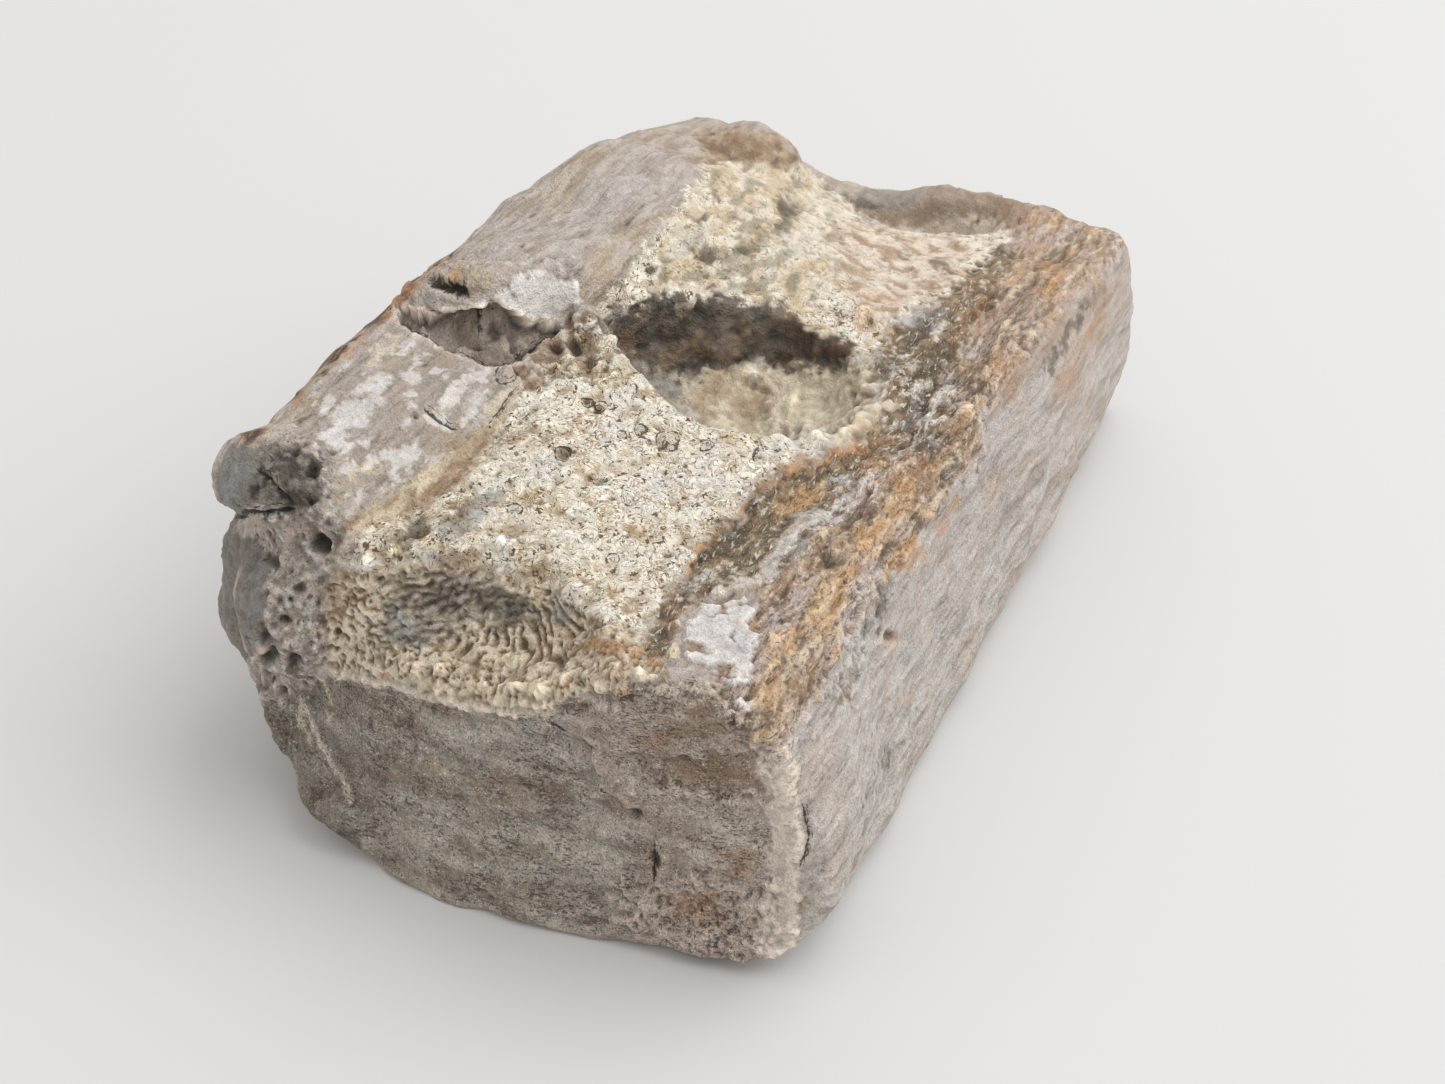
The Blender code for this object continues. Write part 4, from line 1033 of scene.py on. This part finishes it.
def add_marks(skin):
    """Cracks, channel rings, pits and set-in grains that the photograph shows one by one."""
    wavy = skin.pixels + skin.bend * 2.5
    beside = np.full(len(skin.points), LINE_REACH)
    strength = np.zeros(len(skin.points))
    for line, half_width, depth in CRACKS:
        signed, along = line_sides(wavy, line)
        taper = np.clip(5 * np.minimum(along, 1 - along), 0, 1)
        distance = abs(signed) / (half_width + 1.5)
        skin.lift(skin.seen * taper, -depth * np.clip(1 - distance**2, 0, 1))
        if depth > 0:
            closer = abs(signed / half_width) < abs(beside)
            beside = np.where(closer, signed / half_width, beside)
            strength = np.where(closer, taper, strength)
        else:
            skin.coat(np.clip(1.6 - distance, 0, 1) * skin.seen, "rim_cream", 0.6)
    for across, down, radius in RINGS:
        distance = np.hypot(wavy[:, 0] - across, (wavy[:, 1] - down) * 1.15)
        signed = (distance - radius) / RING_HALF_WIDTH
        closer = abs(signed) < abs(beside)
        beside = np.where(closer, signed, beside)
        strength = np.where(closer, 0.4, strength)
        inside = smooth_step(distance / radius, 1.1, 0.7) * skin.seen
        skin.coat(inside, "torn_mauve", 0.5)
    skin.mark("crack", strength * skin.seen)
    skin.mark("crack_side", np.clip(0.5 + beside / (2 * LINE_REACH), 0, 1))
    for across, down, radius, depth in PITS:
        distance = np.hypot(wavy[:, 0] - across, wavy[:, 1] - down) / radius
        bowl = np.clip(1.15 - distance**2, 0, 1) * skin.seen
        skin.lift(bowl * bowl, -depth)
        if depth > 0:
            skin.coat(bowl, "dark", 0.55)


def dress_surface(piece):
    skin = Skin(piece.data)
    dress_outer_wall(skin)
    for name in ("pores", "flecks", "shreds"):
        skin.mark(name, np.zeros(len(skin.points)))
    dress_inner_wall(skin)
    dress_open_bone(skin)
    dress_far_part(skin)
    dress_scoop(skin)
    dress_socket(skin)
    dress_inner_edge(skin)
    dress_filling(skin)
    dress_broken_ends(skin)
    dress_flake(skin)
    add_stains_highlights_and_chips(skin)
    add_marks(skin)
    far = smooth_step(skin.points[:, 1], 5, 35)
    skin.unmark(0.4 * far, "pores", "flecks", "shreds", "fibre", "speck")
    skin.mark("soft", far)
    skin.coat(far * skin.seen, "brown", 0.14)

    resting = smooth_step(skin.points[:, 2], 0.2, 2.0)
    skin.height *= resting
    # Painted shade and light: how far each vertex lies below or above its smoothed surroundings, so the material
    # darkens hollows and lightens ridges.
    skin.mark("relief_shade", 0.5 + 1.6 * (skin.height - skin.spread(skin.height, 10)))
    moved = skin.points + skin.normals * skin.height[:, None]
    moved[:, 2] = np.maximum(moved[:, 2] + skin.rise, 0.0)
    mesh = piece.data
    mesh.vertices.foreach_set("co", (moved * MM).ravel())
    mesh.update()
    for name, values in skin.marks.items():
        attribute = mesh.attributes.new(name, "FLOAT", "POINT")
        attribute.data.foreach_set("value", np.clip(values, 0, 1).astype(np.float32))
    place = mesh.attributes.new("place", "FLOAT_VECTOR", "POINT")
    place.data.foreach_set("vector", skin.points.astype(np.float32).ravel())
    tone = mesh.attributes.new("tone", "FLOAT_COLOR", "POINT")
    opaque = np.ones((len(skin.points), 1))
    tone.data.foreach_set("color", np.hstack((skin.colour, opaque)).astype(np.float32).ravel())
    thin_out(piece, skin.seen)


def thin_out(piece, seen):
    """Fewer triangles, taken first from the sides that the photograph doesn't show."""
    mesh = piece.data
    triangles = sum(len(face.vertices) - 2 for face in mesh.polygons)
    group = piece.vertex_groups.new(name="may_go")
    levels = np.round(1 - 0.85 * np.clip(seen, 0, 1), 1)
    for level in np.unique(levels):
        group.add(np.flatnonzero(levels == level).tolist(), float(level), "REPLACE")
    modifier = piece.modifiers.new("fewer_faces", "DECIMATE")
    modifier.ratio = min(1.0, TRIANGLES / triangles)
    modifier.vertex_group = group.name
    apply_modifiers(piece)
    piece.vertex_groups.clear()


class Shader:
    """Short names for building one material's nodes."""

    def __init__(self, name):
        self.material = bpy.data.materials.new(name)
        self.material.use_nodes = True
        self.tree = self.material.node_tree
        self.surface = self.tree.nodes["Principled BSDF"]

    def add(self, kind, **settings):
        node = self.tree.nodes.new(kind)
        for key, value in settings.items():
            setattr(node, key, value)
        return node

    def put(self, socket, value):
        if isinstance(value, bpy.types.NodeSocket):
            self.tree.links.new(value, socket)
        elif value is not None:
            socket.default_value = value

    def vector(self, operation, first, second):
        node = self.add("ShaderNodeVectorMath", operation=operation)
        self.put(node.inputs[0], first)
        self.put(node.inputs["Scale"] if operation == "SCALE" else node.inputs[1], second)
        return node.outputs[0]

    def math(self, operation, first, second=None, third=None):
        node = self.add("ShaderNodeMath", operation=operation)
        for socket, value in zip(node.inputs, (first, second, third)):
            self.put(socket, value)
        return node.outputs[0]

    def noise(self, place, scale, detail=3.0, swirl=0.0):
        """A texture's value, and three unlike channels, all from 0 to 1. scale is lumps per millimetre."""
        node = self.add("ShaderNodeTexNoise")
        self.put(node.inputs["Vector"], place)
        node.inputs["Scale"].default_value = scale
        node.inputs["Detail"].default_value = detail
        node.inputs["Roughness"].default_value = 0.55
        node.inputs["Distortion"].default_value = swirl
        return node.outputs

    def channels(self, outputs):
        split = self.add("ShaderNodeSeparateColor")
        self.put(split.inputs[0], outputs["Color"])
        return split.outputs[0], split.outputs[1], split.outputs[2]

    def centred(self, channels):
        """Three channels as one vector that swings round zero."""
        joined = self.add("ShaderNodeCombineXYZ")
        for socket, channel in zip(joined.inputs, channels):
            self.put(socket, channel)
        return self.vector("SUBTRACT", joined.outputs[0], (0.5, 0.5, 0.5))

    def step(self, value, low, high):
        node = self.add("ShaderNodeMapRange", interpolation_type="SMOOTHSTEP")
        self.put(node.inputs["Value"], value)
        node.inputs["From Min"].default_value = low
        node.inputs["From Max"].default_value = high
        return node.outputs[0]

    def mix(self, share, under, over):
        node = self.add("ShaderNodeMix", data_type="RGBA")
        self.put(node.inputs[0], share)
        for socket, value in ((node.inputs[6], under), (node.inputs[7], over)):
            named = isinstance(value, str)
            self.put(socket, (*linear_colour(value), 1.0) if named else value)
        return node.outputs[2]

    def painted(self, name):
        return self.add("ShaderNodeAttribute", attribute_name=name).outputs["Fac"]


def bone_material():
    s = Shader("fossil_bone_surface")
    place = s.add("ShaderNodeAttribute", attribute_name="place").outputs["Vector"]
    tone = s.add("ShaderNodeAttribute", attribute_name="tone").outputs["Color"]
    fibre, pores, stone = s.painted("fibre"), s.painted("pores"), s.painted("stone")
    shreds, gloss, relief_shade = s.painted("shreds"), s.painted("gloss"), s.painted("relief_shade")
    grain = s.channels(s.noise(place, GRAIN_SCALE, 3))
    tiny = s.channels(s.noise(place, TINY_SCALE, 1.5))
    coarse_relief = s.noise(place, GRAIN_SCALE, 3)["Fac"]
    tiny_relief = s.noise(place, TINY_SCALE, 1.5)["Fac"]
    strand = s.noise(s.vector("MULTIPLY", place, (1.0, 0.10, 1.0)), 2.2, 3)["Fac"]
    shred = s.noise(s.vector("MULTIPLY", place, (1.0, 0.4, 1.0)), 3.0, 3, 0.6)["Fac"]
    dash = s.noise(s.vector("MULTIPLY", place, (0.5, 0.8, 1.2)), 4.5, 2)["Fac"]
    curl = s.noise(place, 1.3, 2, 1.4)["Fac"]
    patch = s.noise(place, 0.35, 2)["Fac"]

    # Light and dark within each colour: grain everywhere, strands on the fibrous sides, and painted shade in the
    # hollows with painted light on the ridges.
    spots = s.math("MULTIPLY_ADD", s.math("SUBTRACT", tiny[0], 0.5), 1.0, 1.0)
    spots = s.math("MULTIPLY_ADD", s.math("SUBTRACT", grain[0], 0.5), 0.7, spots)
    crisp = s.math("MULTIPLY_ADD", s.painted("soft"), -0.5, 1.0)
    calm = s.math("MULTIPLY_ADD", pores, -0.70, s.math("MULTIPLY_ADD", gloss, -0.5, 1.0))
    calm = s.math("MULTIPLY", s.math("MAXIMUM", calm, 0.2), crisp)
    gain = s.math("MULTIPLY_ADD", s.math("SUBTRACT", spots, 1.0), calm, 1.0)
    sandy = s.math("MULTIPLY", s.math("SUBTRACT", tiny[2], 0.5), stone)
    gain = s.math("MULTIPLY_ADD", sandy, 1.0, gain)
    strands = s.math("MULTIPLY", s.math("SUBTRACT", strand, 0.5), fibre)
    gain = s.math("MULTIPLY_ADD", strands, 0.9, gain)
    torn = s.math("MULTIPLY", s.math("SUBTRACT", shred, 0.5), shreds)
    gain = s.math("MULTIPLY_ADD", torn, 1.4, gain)
    gain = s.math("MULTIPLY", gain, s.math("MULTIPLY_ADD", s.math("SUBTRACT", relief_shade, 0.5), 1.1, 1.0))
    colour = s.vector("SCALE", tone, gain)

    dark_strand = s.math("MULTIPLY", s.step(strand, 0.39, 0.33), fibre)
    colour = s.mix(s.math("MULTIPLY", dark_strand, 0.5), colour, "fibre_brown")

    # Open bone: ochre strokes that curl and gather in patches, thin slits and small comma-shaped pores.
    contour = s.math("ABSOLUTE", s.math("SUBTRACT", curl, 0.5))
    stroke = s.math("MULTIPLY", s.step(contour, 0.080, 0.030), s.step(grain[1], 0.42, 0.50))
    gathered = s.math("MULTIPLY_ADD", s.step(patch, 0.45, 0.60), 0.6, 0.15)
    stroke = s.math("MULTIPLY", s.math("MULTIPLY", stroke, pores), gathered)
    colour = s.mix(stroke, colour, "stroke_ochre")
    slit = s.math("MULTIPLY", s.step(contour, 0.036, 0.016), s.step(grain[2], 0.55, 0.59))
    bent = s.vector("ADD", s.vector("MULTIPLY", place, (1.25, 0.75, 1.0)), s.vector("SCALE", s.centred(grain), 1.6))
    cell = s.add("ShaderNodeTexVoronoi", feature="F1")
    s.put(cell.inputs["Vector"], bent)
    cell.inputs["Scale"].default_value = 0.9
    chosen = s.step(s.channels(cell.outputs)[0], 0.40, 0.46)
    comma = s.math("MULTIPLY", s.step(cell.outputs["Distance"], 0.27, 0.20), chosen)
    pore = s.math("MULTIPLY", s.math("MAXIMUM", slit, comma), pores)
    colour = s.mix(s.math("MULTIPLY", pore, 0.95), colour, "pore_brown")

    # Torn edge: dark and pale shreds.
    colour = s.mix(s.math("MULTIPLY", s.math("MULTIPLY", s.step(shred, 0.43, 0.35), shreds), 0.6), colour,
                   "groove_dark")
    colour = s.mix(s.math("MULTIPLY", s.math("MULTIPLY", s.step(shred, 0.59, 0.66), shreds), 0.5), colour,
                   "cream")

    # Sandstone: short dark dashes along the beds, black grains and a few bright ones.
    gathered = s.math("MULTIPLY", s.step(patch, 0.40, 0.60), stone)
    dashes = s.math("MULTIPLY", s.step(dash, 0.56, 0.62), gathered)
    colour = s.mix(s.math("MULTIPLY", dashes, 0.65), colour, "near_black")
    black = s.math("MULTIPLY", s.step(tiny[1], 0.62, 0.67), stone)
    colour = s.mix(s.math("MULTIPLY", black, 0.75), colour, "near_black")
    bright = s.math("MULTIPLY", s.step(tiny[2], 0.67, 0.71), stone)
    colour = s.mix(s.math("MULTIPLY", bright, 0.7), colour, "bone_white")

    # Dark specks, pale flecks in the groove, and the cracks.
    speck = s.math("MULTIPLY", s.step(tiny[2], 0.65, 0.70), s.painted("speck"))
    colour = s.mix(s.math("MULTIPLY", speck, 0.85), colour, "near_black")
    fleck = s.math("MAXIMUM", s.step(shred, 0.59, 0.64), s.step(tiny[1], 0.65, 0.70))
    fleck = s.math("MULTIPLY", fleck, s.painted("flecks"))
    colour = s.mix(s.math("MULTIPLY", fleck, 0.8), colour, "white")
    beside = s.math("ABSOLUTE", s.math("SUBTRACT", s.painted("crack_side"), 0.5))
    beside = s.math("MULTIPLY", beside, 2 * LINE_REACH)
    beside = s.math("MULTIPLY_ADD", s.math("SUBTRACT", coarse_relief, 0.5), 5.0, beside)
    beside = s.math("ADD", beside, s.math("SUBTRACT", 1.0, s.painted("crack")))
    crack = s.math("MULTIPLY", s.step(beside, 1.3, 0.7), s.step(s.painted("crack"), 0.0, 0.2))
    colour = s.mix(s.math("MULTIPLY", crack, 0.85), colour, "near_black")
    s.put(s.surface.inputs["Base Color"], colour)

    shine = s.math("MULTIPLY", gloss, s.math("MULTIPLY_ADD", grain[1], -0.5, 0.75))
    rough = s.math("MULTIPLY_ADD", shine, -0.75, 0.74)
    s.put(s.surface.inputs["Roughness"], s.math("MAXIMUM", rough, 0.22))
    s.surface.inputs["Specular IOR Level"].default_value = 0.5

    fine = s.math("MULTIPLY_ADD", tiny_relief, 0.55, coarse_relief)
    fine = s.math("MULTIPLY", fine, s.math("MULTIPLY_ADD", pores, -0.5, 1.0))
    fine = s.math("MULTIPLY_ADD", strands, 1.2, fine)
    fine = s.math("MULTIPLY_ADD", torn, 1.2, fine)
    fine = s.math("MULTIPLY_ADD", s.math("MULTIPLY", s.step(contour, 0.0, 0.10), pores), 0.22, fine)
    fine = s.math("MULTIPLY_ADD", pore, -0.35, fine)
    fine = s.math("MULTIPLY_ADD", dashes, -0.4, fine)
    fine = s.math("MULTIPLY_ADD", crack, -0.5, fine)
    bump = s.add("ShaderNodeBump")
    s.put(bump.inputs["Strength"], s.math("MULTIPLY", crisp, 0.8))
    bump.inputs["Distance"].default_value = 0.0005
    s.put(bump.inputs["Height"], fine)
    s.put(s.surface.inputs["Normal"], bump.outputs[0])
    return s.material


def floor_material():
    s = Shader("pale_floor")
    s.surface.inputs["Base Color"].default_value = (0.80, 0.80, 0.80, 1.0)
    s.surface.inputs["Roughness"].default_value = 0.7
    s.surface.inputs["Specular IOR Level"].default_value = 0.2
    return s.material


def add_floor():
    half = 1.5
    mesh = bpy.data.meshes.new("floor")
    corners = [(-half, -half, 0), (half, -half, 0), (half, half, 0), (-half, half, 0)]
    mesh.from_pydata(corners, [], [(0, 1, 2, 3)])
    mesh.materials.append(floor_material())
    floor = bpy.data.objects.new("floor", mesh)
    bpy.context.scene.collection.objects.link(floor)


def add_soft_light(name, towards, distance, size, power, colour):
    """A square soft light that looks at the middle of the section."""
    data = bpy.data.lights.new(name, "AREA")
    data.shape = "SQUARE"
    data.size = size
    data.energy = power
    data.color = colour
    light = bpy.data.objects.new(name, data)
    bpy.context.scene.collection.objects.link(light)
    direction = Vector(towards).normalized()
    middle = Vector((0, 0, 0.015))
    turn = direction.to_track_quat("Z", "Y").to_matrix().to_4x4()
    light.matrix_world = Matrix.Translation(middle + direction * distance) @ turn


def add_lights():
    world = bpy.data.worlds.new("studio")
    world.use_nodes = True
    background = world.node_tree.nodes["Background"]
    background.inputs["Color"].default_value = (1.0, 0.985, 0.97, 1.0)
    background.inputs["Strength"].default_value = 0.62
    bpy.context.scene.world = world
    add_soft_light("key_softbox", (0.50, 0.28, 0.82), 0.9, 0.95, 4.8, (1.0, 1.0, 1.0))
    add_soft_light("back_window", (-0.30, 0.66, 0.68), 0.9, 0.6, 0.6, (0.98, 0.99, 1.0))


def main():
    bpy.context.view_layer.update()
    bpy.context.scene.view_settings.view_transform = "Standard"
    add_camera()
    add_floor()
    add_lights()
    piece = fine_skin()
    dress_surface(piece)
    piece.data.materials.append(bone_material())
    piece.data.shade_smooth()
    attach(piece, "root")
    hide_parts(NODE)


main()
